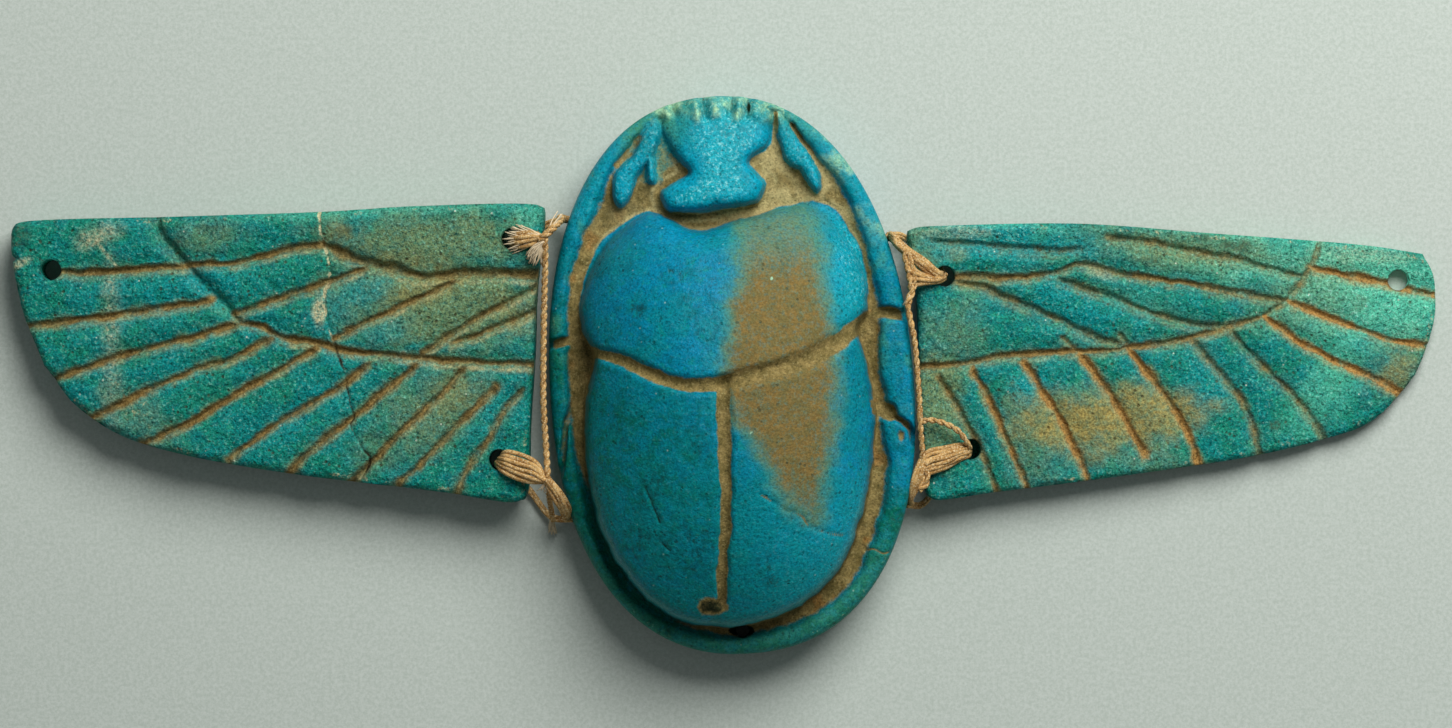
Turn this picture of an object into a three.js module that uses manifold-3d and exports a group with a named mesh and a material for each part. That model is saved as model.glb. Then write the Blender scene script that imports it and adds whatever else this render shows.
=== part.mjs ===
// A winged scarab amulet in turquoise faience, lying on its flat underside.
// A carved beetle on an oval base, and two flat carved wings tied to its sides with linen thread.
// Millimetres. +Z up, +Y towards the beetle's head. The origin is the middle of the beetle's flat underside.
import * as THREE from "three";
import { mergeVertices } from "three/addons/utils/BufferGeometryUtils.js";
import Module from "manifold-3d";

const wasm = await Module();
wasm.setup();

// ---- Driving dimensions ----

const BASE = { x: -0.5, y: 0.1, halfWidth: 20.0, halfLength: 30.7, power: 2.26, lean: 4.2, taper: 0.036 };
const RIM_TOP = 7.2; // crest of the rim, which the legs are carved in
const RIM_ROUND = 0.9;
const FLOOR = 5.5; // floor of the channel between the rim and the back
const BACK_EDGE = 7.6; // where the crown would reach down to, past the back's steep sides
const BACK_TOP = 19.5;
const CROWN = { x: -0.9, y: -4.4, halfWidth: 17.4, halfLength: 25.4, squareness: 2.5, fullness: 0.72 };
const HEAD_CROWN = { x: -2.0, y: 14.5, z: 4.5, halfWidth: 11, halfLength: 19.5, height: 5.4 };
const SHIN_TOP = 7.9;
const SEAM_RADIUS = 0.7; // grooves between the plates of the back
const LEG_GAP_RADIUS = 0.55;
const NOTCH = { radius: 0.45, depth: 1.1, reach: 2.2 }; // serration of the head's front edge

const WING_THICKNESS = { left: { inner: 5.5, tip: 5.5 }, right: { inner: 3.7, tip: 1.6 } };
const WING_ROUND = 0.7;
const WING_LIFT = 1.35; // the thread under each wing's inner end holds it up by this much
const GROOVE_WIDTH = 1.0;
const GROOVE_DEPTH = 0.65;

const SIDE_HOLE = { radius: 1.3, depth: 4, z: 2.5 };
const WING_HOLE_RADIUS = 1.15;
const THREAD_RADIUS = 0.4;
const TIE_RADIUS = 0.52;

const FACETS = { oval: 72, crown: 40, crownRings: 8, hole: 14, thread: 8, cutter: 6 };
const THREAD_STEP = 1.7; // length of one facet along a thread

// ---- Outlines and carved lines, seen from above ----

// The back: wing cases below, breastplate above, with a notch on each side where they meet.
const BACK = [
  [-15.4, 2.5], [-16.7, 5.2], [-16.8, 9.5], [-14.8, 14.3], [-9.6, 17.9], [-4.7, 15.9], [0.5, 17.1], [6, 18.7],
  [9.8, 18.9], [12.7, 15.8], [14.3, 11.5], [14.2, 7.2], [13.3, 5.2], [14.6, 0], [15.2, -6], [14.5, -12],
  [12.6, -18.6], [9.7, -22.9], [4.5, -26.2], [-1, -27.5], [-6.5, -26.5], [-11.2, -22.8], [-14.4, -17.6],
  [-16.2, -10], [-16.3, -3],
];
// The rim's inner edge. The head stands over its front end.
const RIM_INSIDE = [
  [-2, 29.3], [4.6, 28.7], [9.3, 24], [12.7, 18.8], [14.8, 13.2], [15.7, 7], [16.4, 0], [16.2, -5.5],
  [15.5, -11], [14.4, -17.8], [11.4, -23.4], [6.5, -27], [0, -28.7], [-6.5, -27.7], [-12, -23.9],
  [-15.7, -18.4], [-17.3, -11], [-18.6, -3], [-18.6, 6], [-17.2, 13.4], [-14.6, 20.2], [-11.4, 25.6],
  [-8, 28.6],
];
const HEAD = [
  [-8.2, 20.1], [-6.4, 21.4], [-5, 22.4], [-6, 24], [-8.1, 26.6], [-8, 28.4], [-4.6, 29.9], [-1.4, 30.2],
  [1.8, 29.8], [4.2, 28.9], [4, 26.4], [3.1, 24.9], [1.4, 23.6], [2.8, 22.5], [3.6, 21], [2.2, 19.4],
  [-1.5, 18.2], [-5.5, 18.1], [-7.8, 18.9],
];
const HEAD_NOTCHES = [-7.6, -4.3, -2, -0.3, 1.5, 4.2]; // across the front edge

const SHINS = [
  [
    [-9, 27.8], [-11, 25.2], [-12.9, 22.8], [-13.2, 20.5], [-12.6, 18.9], [-11.4, 20.3], [-10.4, 22.6],
    [-9, 25],
  ],
  [[4.9, 28.3], [6.6, 26], [8.2, 23.5], [9.2, 21.6], [8.8, 20.2], [7.6, 21.8], [6.3, 23.1], [5.1, 25]],
];
const SEAMS = [
  [[-17, 3], [-13.5, 2.1], [-10, 0.6], [-5, -0.9], [0, -0.5], [5, 0.8], [10, 3], [12.6, 5], [15.5, 6.6]],
  [[-1.3, -0.9], [-1.3, -6], [-1.1, -15], [-1.4, -20.5], [-1.5, -24.8]],
];
const LEG_GAPS = [
  [[-17.6, 4.1], [-22, 2.9]],
  [[15, 7], [20.5, 6.6]],
  [[-17.4, -4.4], [-18.7, -6.5], [-18.9, -10], [-19.6, -15]],
  [[15.4, -3.6], [17.4, -4.5], [18.8, -6.4], [21, -9.5]],
];
const TAIL_HOLE = { x: 0.8, y: -28.1, radius: 0.75 };

// Each wing: its straight corners, the spline that closes them, its holes, and its feather lines.
// A line is [start, end, bow]: bow is how far the middle stands to the left of the straight run.
const LEFT_WING = {
  innerX: -21.5,
  tipX: -79.5,
  thickness: WING_THICKNESS.left,
  corners: [[-79.5, 16.9], [-50, 17.9], [-20.8, 18.9]],
  curve: [
    [-22.9, -14.1], [-32, -12.8], [-50, -10.6], [-61, -8.6], [-67.5, -6.6], [-72.4, -3.4], [-76, 1.1],
    [-78.4, 7], [-79.5, 12.4],
  ],
  holes: [[-75.3, 11.7], [-24.5, 15.1], [-25.9, -9.2]],
  lines: [
    [[-74.4, 11.4], [-59, 12.2], -0.2], [[-59, 12.2], [-45.4, 14.5], -0.4],
    [[-45.4, 14.5], [-38, 11.9], -0.2], [[-38, 11.9], [-33.5, 10.8], -0.3], [[-33.5, 10.8], [-21, 11], 0.3],
    [[-78.5, 5.4], [-57.2, 8.6], -0.4], [[-64, 18], [-54.8, 6.4], -0.2],
    [[-76, -0.6], [-54.5, 5.9], 0.1], [[-54.5, 5.9], [-45.5, 3.3], -0.1], [[-45.5, 3.3], [-21.5, 1.1], -0.3],
    [[-55, 6.9], [-40.4, 11.9], -0.1], [[-44.2, 4.2], [-31.2, 10.4], -0.2],
    [[-34.3, 2.6], [-22.5, 9.4], 0.1], [[-31, 3.4], [-22, 7], 0.1],
    [[-70.5, -4.4], [-50.6, 4.2], -0.4], [[-65.8, -7.6], [-46, 3.1], -0.4],
    [[-55.4, -8.8], [-39.8, 1.8], -0.3], [[-49, -10.3], [-34.6, 1.6], -0.4],
    [[-41.8, -11.5], [-29.7, 0.8], 0.2], [[-36.9, -11.4], [-26, -1], 0.1], [[-30.4, -12.6], [-23, -1.2], 0.1],
  ],
};
const RIGHT_WING = {
  innerX: 20.2,
  tipX: 77.3,
  thickness: WING_THICKNESS.right,
  corners: [[20.9, -13.8], [20.2, 1], [18.7, 16.3]],
  curve: [
    [24, 16.6], [38, 16.8], [52, 15.8], [70, 14.4], [75.6, 13.7], [77.2, 11], [77.3, 6.5], [76, 2],
    [73.5, -2], [70, -5.2], [65, -7], [55, -9.2], [40, -11.4], [28, -12.9],
  ],
  holes: [[73.3, 10.6], [23, 11], [25.9, -8.1]],
  lines: [
    [[22, 14.8], [38, 13.9], -0.3], [[41, 15.2], [62.6, 11], 0.4],
    [[24, 11.1], [35, 11.4], -0.3], [[35, 11.4], [42, 11.4], 0.8], [[42, 11.4], [61.6, 8.3], 0.1],
    [[35.6, 10.6], [54, 5.4], -0.3], [[24.4, 10.4], [42.4, 3.6], 0.2],
    [[35.3, 5], [37.2, 3.1], 0], [[42, 5.2], [43, 3.4], 0],
    [[20, 1], [38, 2.7], 0.3], [[38, 2.7], [58, 6.5], -0.5], [[58, 6.5], [64.5, 15.6], -0.4],
    [[63.4, 12.1], [78, 8.8], 0.3], [[61, 8.4], [77.3, 3.3], -0.4], [[58.3, 6.6], [74.3, -2.3], -0.3],
    [[54.6, 5], [65.2, -7.6], -0.1], [[50.4, 3.9], [57.9, -9.2], 0.3], [[43.3, 2.8], [51, -9.6], 0.4],
    [[38, 2.4], [45.3, -8.6], 0.3], [[31.8, 1.6], [38.5, -11.2], 0.3], [[26, 0.8], [32, -12.6], 0.3],
    [[22.3, 0], [28.7, -13.2], 0.1],
  ],
};

// The holes in the beetle's sides that the ties pass into, and the direction each goes in.
const SIDE_HOLES = {
  leftFront: { at: [-18.5, 17.3], inward: [1, -0.35] },
  leftRear: { at: [-18.0, -15.8], inward: [1, 0.4] },
  rightFront: { at: [16.7, 15.6], inward: [-1, -0.35] },
  rightRear: { at: [18.9, -14.2], inward: [-1, 0.3] },
};

// Each tie is a loop: out of the beetle's side, over the wing's edge, down its hole and back under the wing.
const TIES = {
  leftFront: {
    over: [[-19.9, 17.0, 5], [-20.5, 15.6, 7.7], [-22.2, 15.3, 7.6]],
    under: [[-22.2, 16.0, 0.6], [-20.3, 17.0, 1.2]],
  },
  leftRear: {
    over: [[-19.4, -15.4, 5], [-19.8, -13.2, 7.9], [-20.9, -11.3, 7.7], [-23, -10.4, 7.6]],
    under: [[-22.8, -12.6, 0.6], [-20.3, -15.6, 1.1]],
  },
  rightFront: {
    over: [[17.9, 15.3, 5.4], [19.2, 13.9, 6.5], [21.2, 12.4, 5.8]],
    under: [[20.4, 13.8, 0.6], [18.5, 15.4, 1.1]],
  },
  rightRear: {
    over: [[20.3, -13.9, 4.8], [20.3, -12.3, 6.4], [21, -9.9, 6.2], [23, -8.9, 5.7]],
    under: [[22.6, -11.8, 0.6], [20.7, -14.2, 1.1]],
  },
};
const STAYS = {
  left: [[-20.6, 15.3, 7.5], [-21, 9, 7.2], [-21.1, -3, 7.2], [-20.9, -11.3, 7.7]],
  right: [[19.2, 13.8, 6.5], [19.2, 9.5, 7.1], [19.8, 3, 7.7], [20.3, -4, 7.7], [20.9, -9.9, 6.3]],
};
const LOOSE_END = [[-20.9, -11.5, 7.6], [-20.6, -13.4, 6], [-20.3, -15.4, 3], [-20.2, -17.1, 0.8]];

// ---- Materials ----

const glaze = new THREE.MeshStandardMaterial({ color: 0x0b93a8, roughness: 0.42, metalness: 0 });
const wingGlaze = new THREE.MeshStandardMaterial({ color: 0x2a9488, roughness: 0.5, metalness: 0 });
const linen = new THREE.MeshStandardMaterial({ color: 0xc9a878, roughness: 0.9, metalness: 0 });

// ---- Tools ----

// A closed geometry as a solid that can be joined and cut.
function solid(geometry) {
  const bare = geometry.index ? geometry.toNonIndexed() : geometry.clone();
  bare.deleteAttribute("normal");
  bare.deleteAttribute("uv");
  const merged = mergeVertices(bare, 1e-4);
  return new wasm.Manifold(new wasm.Mesh({
    numProp: 3,
    vertProperties: merged.attributes.position.array,
    triVerts: new Uint32Array(merged.index.array),
  }));
}

// A solid as a named mesh.
function piece(name, shape, material) {
  const made = shape.getMesh();
  const geometry = new THREE.BufferGeometry()
    .setAttribute("position", new THREE.BufferAttribute(made.vertProperties, 3))
    .setIndex(new THREE.BufferAttribute(made.triVerts, 1));
  const mesh = new THREE.Mesh(geometry.toNonIndexed(), material);
  mesh.geometry.computeVertexNormals();
  mesh.name = name;
  return mesh;
}

const flat = ([x, y]) => new THREE.Vector2(x, y);
const space = ([x, y, z = 0]) => new THREE.Vector3(x, y, z);

// Evenly spaced points of the smooth closed curve through these points.
function loop(points, count) {
  const curve = new THREE.CatmullRomCurve3(points.map(space), true, "centripetal");
  return curve.getSpacedPoints(count).slice(0, -1).map((p) => [p.x, p.y]);
}

// An upright prism over an outline.
function prism(outline, bottom, top) {
  const shape = new THREE.Shape(outline.map(flat));
  const upright = new THREE.ExtrudeGeometry(shape, { depth: top - bottom, bevelEnabled: false });
  return solid(upright.translate(0, 0, bottom));
}

// A plate over an outline, with its upper and lower edges rounded off inside that outline.
function plate(outline, thickness, round) {
  const shape = new THREE.Shape(outline.map(flat));
  const slab = new THREE.ExtrudeGeometry(shape, {
    depth: thickness - 2 * round,
    bevelThickness: round,
    bevelSize: round,
    bevelOffset: -round,
    bevelSegments: 2,
  });
  return solid(slab.translate(0, 0, round));
}

// A tube along a curve. halfWidth lies along the surface and halfDepth stands up from it.
function sweep(curve, halfWidth, halfDepth, sides, steps) {
  const section = new THREE.Shape();
  for (let i = 0; i < sides; i++) {
    const turn = (2 * Math.PI * i) / sides;
    section[i ? "lineTo" : "moveTo"](halfDepth * Math.cos(turn), halfWidth * Math.sin(turn));
  }
  return solid(new THREE.ExtrudeGeometry(section, { steps, bevelEnabled: false, extrudePath: curve }));
}

const smooth = (points) => new THREE.CatmullRomCurve3(points.map(space), false, "centripetal");

// A round hole from one point to another.
function bore(from, to, radius) {
  return sweep(new THREE.LineCurve3(space(from), space(to)), radius, radius, FACETS.hole, 1);
}

const union = (parts) => parts.reduce((all, one) => all.add(one));
const cut = (from, cutters) => cutters.reduce((left, one) => left.subtract(one), from);

// ---- The beetle ----

// The base's oval: a superellipse that leans to the left at the head and is a little wider at the tail.
function baseOval() {
  const lean = THREE.MathUtils.degToRad(BASE.lean);
  return Array.from({ length: FACETS.oval }, (_, i) => {
    const turn = (2 * Math.PI * i) / FACETS.oval;
    const reach = (v) => Math.sign(v) * Math.abs(v) ** (2 / BASE.power);
    const y = BASE.halfLength * reach(Math.sin(turn));
    const x = BASE.halfWidth * (1 - (BASE.taper * y) / BASE.halfLength) * reach(Math.cos(turn));
    const turned = new THREE.Vector2(x, y).rotateAround(new THREE.Vector2(), lean);
    return [BASE.x + turned.x, BASE.y + turned.y];
  });
}

// How far out a point is, from 0 at the middle of the crown to 1 at its squarish edge.
function crownReach(x, y) {
  const across = Math.abs(x / CROWN.halfWidth) ** CROWN.squareness;
  const along = Math.abs(y / CROWN.halfLength) ** CROWN.squareness;
  return (across + along) ** (1 / CROWN.squareness);
}

function crownHeight(reach) {
  return BACK_EDGE + (BACK_TOP - BACK_EDGE) * Math.max(0, 1 - reach ** 2) ** CROWN.fullness;
}

// The domed blank that the back is cut from: a turned crown, then stretched and squared.
function crown() {
  const profile = [];
  for (let i = 0; i <= FACETS.crownRings; i++) {
    const reach = Math.sin((Math.PI / 2) * (i / FACETS.crownRings));
    profile.push(new THREE.Vector2(reach, crownHeight(reach)));
  }
  profile.push(new THREE.Vector2(1, FLOOR - 1), new THREE.Vector2(0, FLOOR - 1));
  const turned = new THREE.LatheGeometry(profile.reverse(), FACETS.crown).rotateX(Math.PI / 2);
  turned.scale(CROWN.halfWidth, CROWN.halfLength, 1);
  const points = turned.attributes.position;
  for (let i = 0; i < points.count; i++) {
    const [x, y] = [points.getX(i), points.getY(i)];
    const round = Math.hypot(x / CROWN.halfWidth, y / CROWN.halfLength);
    const squared = round ? round / crownReach(x, y) : 1;
    points.setXY(i, CROWN.x + x * squared, CROWN.y + y * squared);
  }
  return solid(turned);
}

function back() {
  const domed = crown().intersect(prism(loop(BACK, 84), FLOOR - 1, BACK_TOP + 1));
  const seams = SEAMS.map((line) => {
    const onCrown = (p) => [p.x, p.y, crownHeight(crownReach(p.x - CROWN.x, p.y - CROWN.y))];
    const path = smooth(line).getSpacedPoints(12).map(onCrown);
    return sweep(smooth(path), SEAM_RADIUS, SEAM_RADIUS, FACETS.cutter, 18);
  });
  return cut(domed, seams);
}

function head() {
  const ball = new THREE.SphereGeometry(1, 28, 16);
  ball.scale(HEAD_CROWN.halfWidth, HEAD_CROWN.halfLength, HEAD_CROWN.height);
  ball.translate(HEAD_CROWN.x, HEAD_CROWN.y, HEAD_CROWN.z);
  return solid(ball).intersect(prism(loop(HEAD, 48), FLOOR - 1, BACK_TOP));
}

// The notches fan out across the front edge of the head.
function headNotches() {
  const front = BASE.y + BASE.halfLength;
  return HEAD_NOTCHES.map((x) => {
    const lean = (x - HEAD_CROWN.x) / (front - HEAD_CROWN.y);
    const at = (y) => [x + lean * (y - front), y, RIM_TOP + 0.5];
    return sweep(smooth([at(front - NOTCH.reach), at(front + 1)]), NOTCH.radius, NOTCH.depth, 4, 1);
  });
}

function scarab() {
  const base = plate(baseOval(), RIM_TOP, RIM_ROUND);
  const basin = prism(loop(RIM_INSIDE, 56), FLOOR, BACK_TOP);
  const gaps = LEG_GAPS.map((line) => {
    const path = smooth(line.map(([x, y]) => [x, y, RIM_TOP]));
    return sweep(path, LEG_GAP_RADIUS, RIM_TOP - FLOOR, FACETS.cutter, 3 * (line.length - 1));
  });
  const holes = Object.values(SIDE_HOLES).map(({ at: [x, y], inward: [dx, dy] }) => {
    const { radius, depth, z } = SIDE_HOLE;
    return bore([x - 2 * dx, y - 2 * dy, z], [x + depth * dx, y + depth * dy, z], radius);
  });
  const tail = bore([TAIL_HOLE.x, TAIL_HOLE.y, -1], [TAIL_HOLE.x, TAIL_HOLE.y, FLOOR + 2], TAIL_HOLE.radius);
  const shins = SHINS.map((outline) => prism(loop(outline, 24), FLOOR - 1, SHIN_TOP));
  const rim = cut(base, [basin, ...gaps]);
  return cut(union([rim, back(), head(), ...shins]), [...holes, tail, ...headNotches()]);
}

// ---- The wings ----

// A feather line as a shallow curve on a face at height z.
function featherLine([from, to, bow], z) {
  const [dx, dy] = [to[0] - from[0], to[1] - from[1]];
  const length = Math.hypot(dx, dy);
  const middle = [(from[0] + to[0]) / 2 - (dy / length) * bow, (from[1] + to[1]) / 2 + (dx / length) * bow];
  return smooth([from, middle, to].map(([x, y]) => [x, y, z]));
}

// A wing is carved at the thickness of its inner end, then thinned evenly towards its tip.
function wing({ innerX, tipX, thickness, corners, curve, holes, lines }) {
  const edge = smooth(curve).getSpacedPoints(34).map((p) => [p.x, p.y]);
  const blank = plate([...corners, ...edge].reverse(), thickness.inner, WING_ROUND);
  const grooves = lines.map((line) => {
    const run = featherLine(line, thickness.inner);
    return sweep(run, GROOVE_WIDTH / 2, GROOVE_DEPTH, 4, Math.max(2, Math.round(run.getLength() / 6)));
  });
  const drilled = holes.map(([x, y]) => bore([x, y, -1], [x, y, thickness.inner + 1], WING_HOLE_RADIUS));
  const thinning = 1 - thickness.tip / thickness.inner;
  return cut(blank, [...grooves, ...drilled]).warp((point) => {
    point[2] *= 1 - (thinning * (point[0] - innerX)) / (tipX - innerX);
  });
}

// A wing lies on its outer tip, and its inner end is lifted by the thread under it.
function laidDown(mesh, { tipX, innerX }) {
  const hinge = new THREE.Group();
  hinge.position.x = tipX;
  hinge.rotation.y = Math.asin(WING_LIFT / (tipX - innerX));
  mesh.position.x = -tipX;
  hinge.add(mesh);
  return hinge;
}

// ---- The thread ----

function thread(points, radius) {
  const run = smooth(points);
  return sweep(run, radius, radius, FACETS.thread, Math.ceil(run.getLength() / THREAD_STEP));
}

function tie(name, [x, y]) {
  const { at, inward } = SIDE_HOLES[name];
  const { over, under } = TIES[name];
  const along = (reach, z) => [at[0] + reach * inward[0], at[1] + reach * inward[1], z];
  const inside = along(SIDE_HOLE.depth - 1, SIDE_HOLE.z);
  const high = over[over.length - 1][2];
  const low = under[0][2];
  const turn = [x + 0.1 * (under[0][0] - x), y + 0.1 * (under[0][1] - y), low + 0.15];
  const above = [inside, along(-0.8, SIDE_HOLE.z + 0.2), ...over, [x, y, high - 0.4], [x, y, 3]];
  const below = [[x, y, 4], [x, y, low + 1.3], turn, ...under, along(0, SIDE_HOLE.z - 0.4), inside];
  return thread(above, TIE_RADIUS).add(thread(below, THREAD_RADIUS));
}

function leftThread() {
  const [, front, rear] = LEFT_WING.holes;
  const stay = thread(STAYS.left, THREAD_RADIUS);
  return union([tie("leftFront", front), tie("leftRear", rear), stay, thread(LOOSE_END, THREAD_RADIUS)]);
}

function rightThread() {
  const [, front, rear] = RIGHT_WING.holes;
  return union([tie("rightFront", front), tie("rightRear", rear), thread(STAYS.right, THREAD_RADIUS)]);
}

// ---- The whole amulet ----

const amulet = new THREE.Group();
amulet.add(
  piece("scarab", scarab(), glaze),
  laidDown(piece("left_wing", wing(LEFT_WING), wingGlaze), LEFT_WING),
  laidDown(piece("right_wing", wing(RIGHT_WING), wingGlaze), RIGHT_WING),
  piece("left_thread", leftThread(), linen),
  piece("right_thread", rightThread(), linen),
);

export default amulet;
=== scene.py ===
"""A winged scarab amulet of turquoise faience: a carved beetle, with two feathered wings tied on with linen.

Lengths below are millimetres in the part's own frame, and become metres when a mesh is made.
"""

import math

import bpy
import numpy as np
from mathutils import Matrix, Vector


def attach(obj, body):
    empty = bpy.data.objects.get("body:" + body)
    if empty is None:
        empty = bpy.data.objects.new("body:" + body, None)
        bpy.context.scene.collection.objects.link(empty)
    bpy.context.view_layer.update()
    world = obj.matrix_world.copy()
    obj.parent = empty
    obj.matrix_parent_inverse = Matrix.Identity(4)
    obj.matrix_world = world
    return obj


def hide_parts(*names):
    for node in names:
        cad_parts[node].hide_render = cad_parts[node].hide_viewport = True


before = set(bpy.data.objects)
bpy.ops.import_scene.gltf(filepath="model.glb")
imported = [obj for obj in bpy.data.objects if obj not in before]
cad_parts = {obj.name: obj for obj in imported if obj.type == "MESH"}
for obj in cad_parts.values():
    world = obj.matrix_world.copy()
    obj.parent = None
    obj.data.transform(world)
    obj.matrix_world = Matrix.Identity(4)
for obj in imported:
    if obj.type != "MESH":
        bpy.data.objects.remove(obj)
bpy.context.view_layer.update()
MM = 0.001

# ---------------------------------------------------------------- the part's driving dimensions

BASE = {
    "x": -0.5, "y": 0.1, "half_width": 20, "half_length": 30.7, "power": 2.26, "lean": 4.2, "taper": 0.036,
}
RIM_TOP = 7.2
RIM_ROUND = 0.9
FLOOR = 5.5
BACK_EDGE = 7.6
BACK_TOP = 19.5
CROWN = {"x": -0.9, "y": -4.4, "half_width": 17.4, "half_length": 25.4, "squareness": 2.5, "fullness": 0.72}
HEAD_CROWN = {"x": -2, "y": 14.5, "z": 4.5, "half_width": 11, "half_length": 19.5, "height": 5.4}
SHIN_TOP = 7.9
SIDE_HOLE = {"radius": 1.3, "depth": 4, "z": 2.5}
TAIL_HOLE = {"x": 0.8, "y": -28.1, "radius": 0.75}
WING_ROUND = 0.7
WING_LIFT = 1.35
WING_HOLE_RADIUS = 1.15
GRID = 0.145  # spacing of the fine meshes
BEETLE_COUNT = 280  # points along each side of the beetle's grid
WING_COUNT = {"columns": 400, "rows": 200}

# ---------------------------------------------------------------- fields over the plane


def rise(low, high, value):
    """0 up to low, 1 from high on, and smooth between. Where low is above high, it falls instead."""
    share = np.clip((value - low) / (high - low), 0, 1)
    return share * share * (3 - 2 * share)


def bell(value, width=1.0):
    """1 where the value is 0, and less on both sides of it."""
    return np.exp(-((value / width) ** 2))


def most(*layers):
    """The strongest of these layers at each point."""
    return np.maximum.reduce(layers)


def off(x, y, at_x, at_y, half_x=1.0, half_y=1.0, turn=0.0):
    """How far points are from a place, counted in the half sizes of a turned ellipse."""
    c, s = math.cos(math.radians(turn)), math.sin(math.radians(turn))
    u, v = (x - at_x) * c + (y - at_y) * s, (y - at_y) * c - (x - at_x) * s
    return np.hypot(u / half_x, v / half_y)


def ripple(x, y, size, seed):
    """Smooth noise from -1 to 1 with bumps about size across."""
    u, v = x / size, y / size
    i, j = np.floor(u).astype(np.int64), np.floor(v).astype(np.int64)
    fu, fv = rise(0, 1, u - i), rise(0, 1, v - j)

    def corner(di, dj):
        h = (i + di) * 374761393 + (j + dj) * 668265263 + seed * 974711
        h = (h ^ (h >> 13)) * 1274126177
        return ((h ^ (h >> 16)) & 0xFFFF) / 32767.5 - 1

    low = corner(0, 0) * (1 - fu) + corner(1, 0) * fu
    high = corner(0, 1) * (1 - fu) + corner(1, 1) * fu
    return low * (1 - fv) + high * fv


def roughness(x, y, size, seed, octaves=3):
    """Noise with finer and weaker bumps added to it."""
    return sum(ripple(x, y, size / 2**k, seed + k) / 1.8**k for k in range(octaves))


def smooth_line(points, closed=False, step=0.5):
    """Points about step apart on the centripetal Catmull-Rom curve through these points."""
    p = np.array(points, float)
    ends = (p[-1], p[0], p[1]) if closed else (2 * p[0] - p[1], 2 * p[-1] - p[-2])
    p = np.vstack([ends[0], p, *ends[1:]])
    out = []
    for a, b, c, d in zip(p[:-3], p[1:-2], p[2:-1], p[3:]):
        gaps = [max(np.linalg.norm(v), 1e-6) ** 0.5 for v in (b - a, c - b, d - c)]
        ta, tb, tc, td = np.cumsum([0.0, *gaps])
        count = max(1, int(math.ceil(np.linalg.norm(c - b) / step)))
        t = np.linspace(tb, tc, count, endpoint=False)[:, None]
        ab = (tb - t) / (tb - ta) * a + (t - ta) / (tb - ta) * b
        bc = (tc - t) / (tc - tb) * b + (t - tb) / (tc - tb) * c
        cd = (td - t) / (td - tc) * c + (t - tc) / (td - tc) * d
        abc = (tc - t) / (tc - ta) * ab + (t - ta) / (tc - ta) * bc
        bcd = (td - t) / (td - tb) * bc + (t - tb) / (td - tb) * cd
        out.append((tc - t) / (tc - tb) * abc + (t - tb) / (tc - tb) * bcd)
    if not closed:
        out.append(p[-2][None])
    return np.vstack(out)


def run_of(line):
    """How far along a line each of its points is."""
    return np.concatenate([[0], np.cumsum(np.linalg.norm(np.diff(line, axis=0), axis=1))])


def nearest(x, y, line, reach):
    """Each point's distance to a line, at most reach, and the share of the line where that is."""
    distance = np.full(x.shape, float(reach))
    share = np.zeros(x.shape)
    low, high = line.min(0) - reach, line.max(0) + reach
    near = np.nonzero((x > low[0]) & (x < high[0]) & (y > low[1]) & (y < high[1]))[0]
    px, py = x[near], y[near]
    best, where = distance[near], share[near]
    count = len(line) - 1
    for k in range(count):
        (ax, ay), (bx, by) = line[k], line[k + 1]
        dx, dy = bx - ax, by - ay
        t = np.clip(((px - ax) * dx + (py - ay) * dy) / max(dx * dx + dy * dy, 1e-12), 0, 1)
        d = np.hypot(px - ax - t * dx, py - ay - t * dy)
        closer = d < best
        best = np.where(closer, d, best)
        where = np.where(closer, (k + t) / count, where)
    distance[near], share[near] = best, where
    return distance, share


def inside(x, y, outline):
    """Whether each point is inside a closed outline."""
    within = np.zeros(x.shape, bool)
    for (ax, ay), (bx, by) in zip(outline, np.roll(outline, -1, 0)):
        if ay != by:
            crosses = (ay > y) != (by > y)
            within ^= crosses & (x < ax + (y - ay) * (bx - ax) / (by - ay))
    return within


def depth_inside(x, y, outline, reach=6.0):
    """How far inside a closed outline each point is. Outside it is negative."""
    distance, _ = nearest(x, y, np.vstack([outline, outline[:1]]), reach)
    return np.where(inside(x, y, outline), distance, -distance)


def quarter_round(depth, radius):
    """How far below a flat top its rounded edge is, from the depth inside that edge."""
    back = np.clip(radius - depth, 0, radius)
    return radius - np.sqrt(radius**2 - back**2)


# ---------------------------------------------------------------- meshes


def new_object(name, vertices, faces, material):
    mesh = bpy.data.meshes.new(name)
    mesh.from_pydata((np.asarray(vertices) * MM).tolist(), [], faces)
    mesh.shade_smooth()
    mesh.materials.append(material)
    piece = bpy.data.objects.new(name, mesh)
    bpy.context.scene.collection.objects.link(piece)
    return piece


def drawn_in(grid, edge, steps):
    """The grid's edge points after each is drawn in by this many of its steps."""
    rows, columns = grid.shape[:2]
    i, j = np.divmod(edge, columns)
    i = steps + i * (rows - 1 - 2 * steps) / (rows - 1)
    j = steps + j * (columns - 1 - 2 * steps) / (columns - 1)
    a, b = i.astype(int), j.astype(int)
    u, v = (i - a)[:, None], (j - b)[:, None]
    near = grid[a, b] * (1 - v) + grid[a, b + 1] * v
    far = grid[a + 1, b] * (1 - v) + grid[a + 1, b + 1] * v
    return near * (1 - u) + far * u


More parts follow.
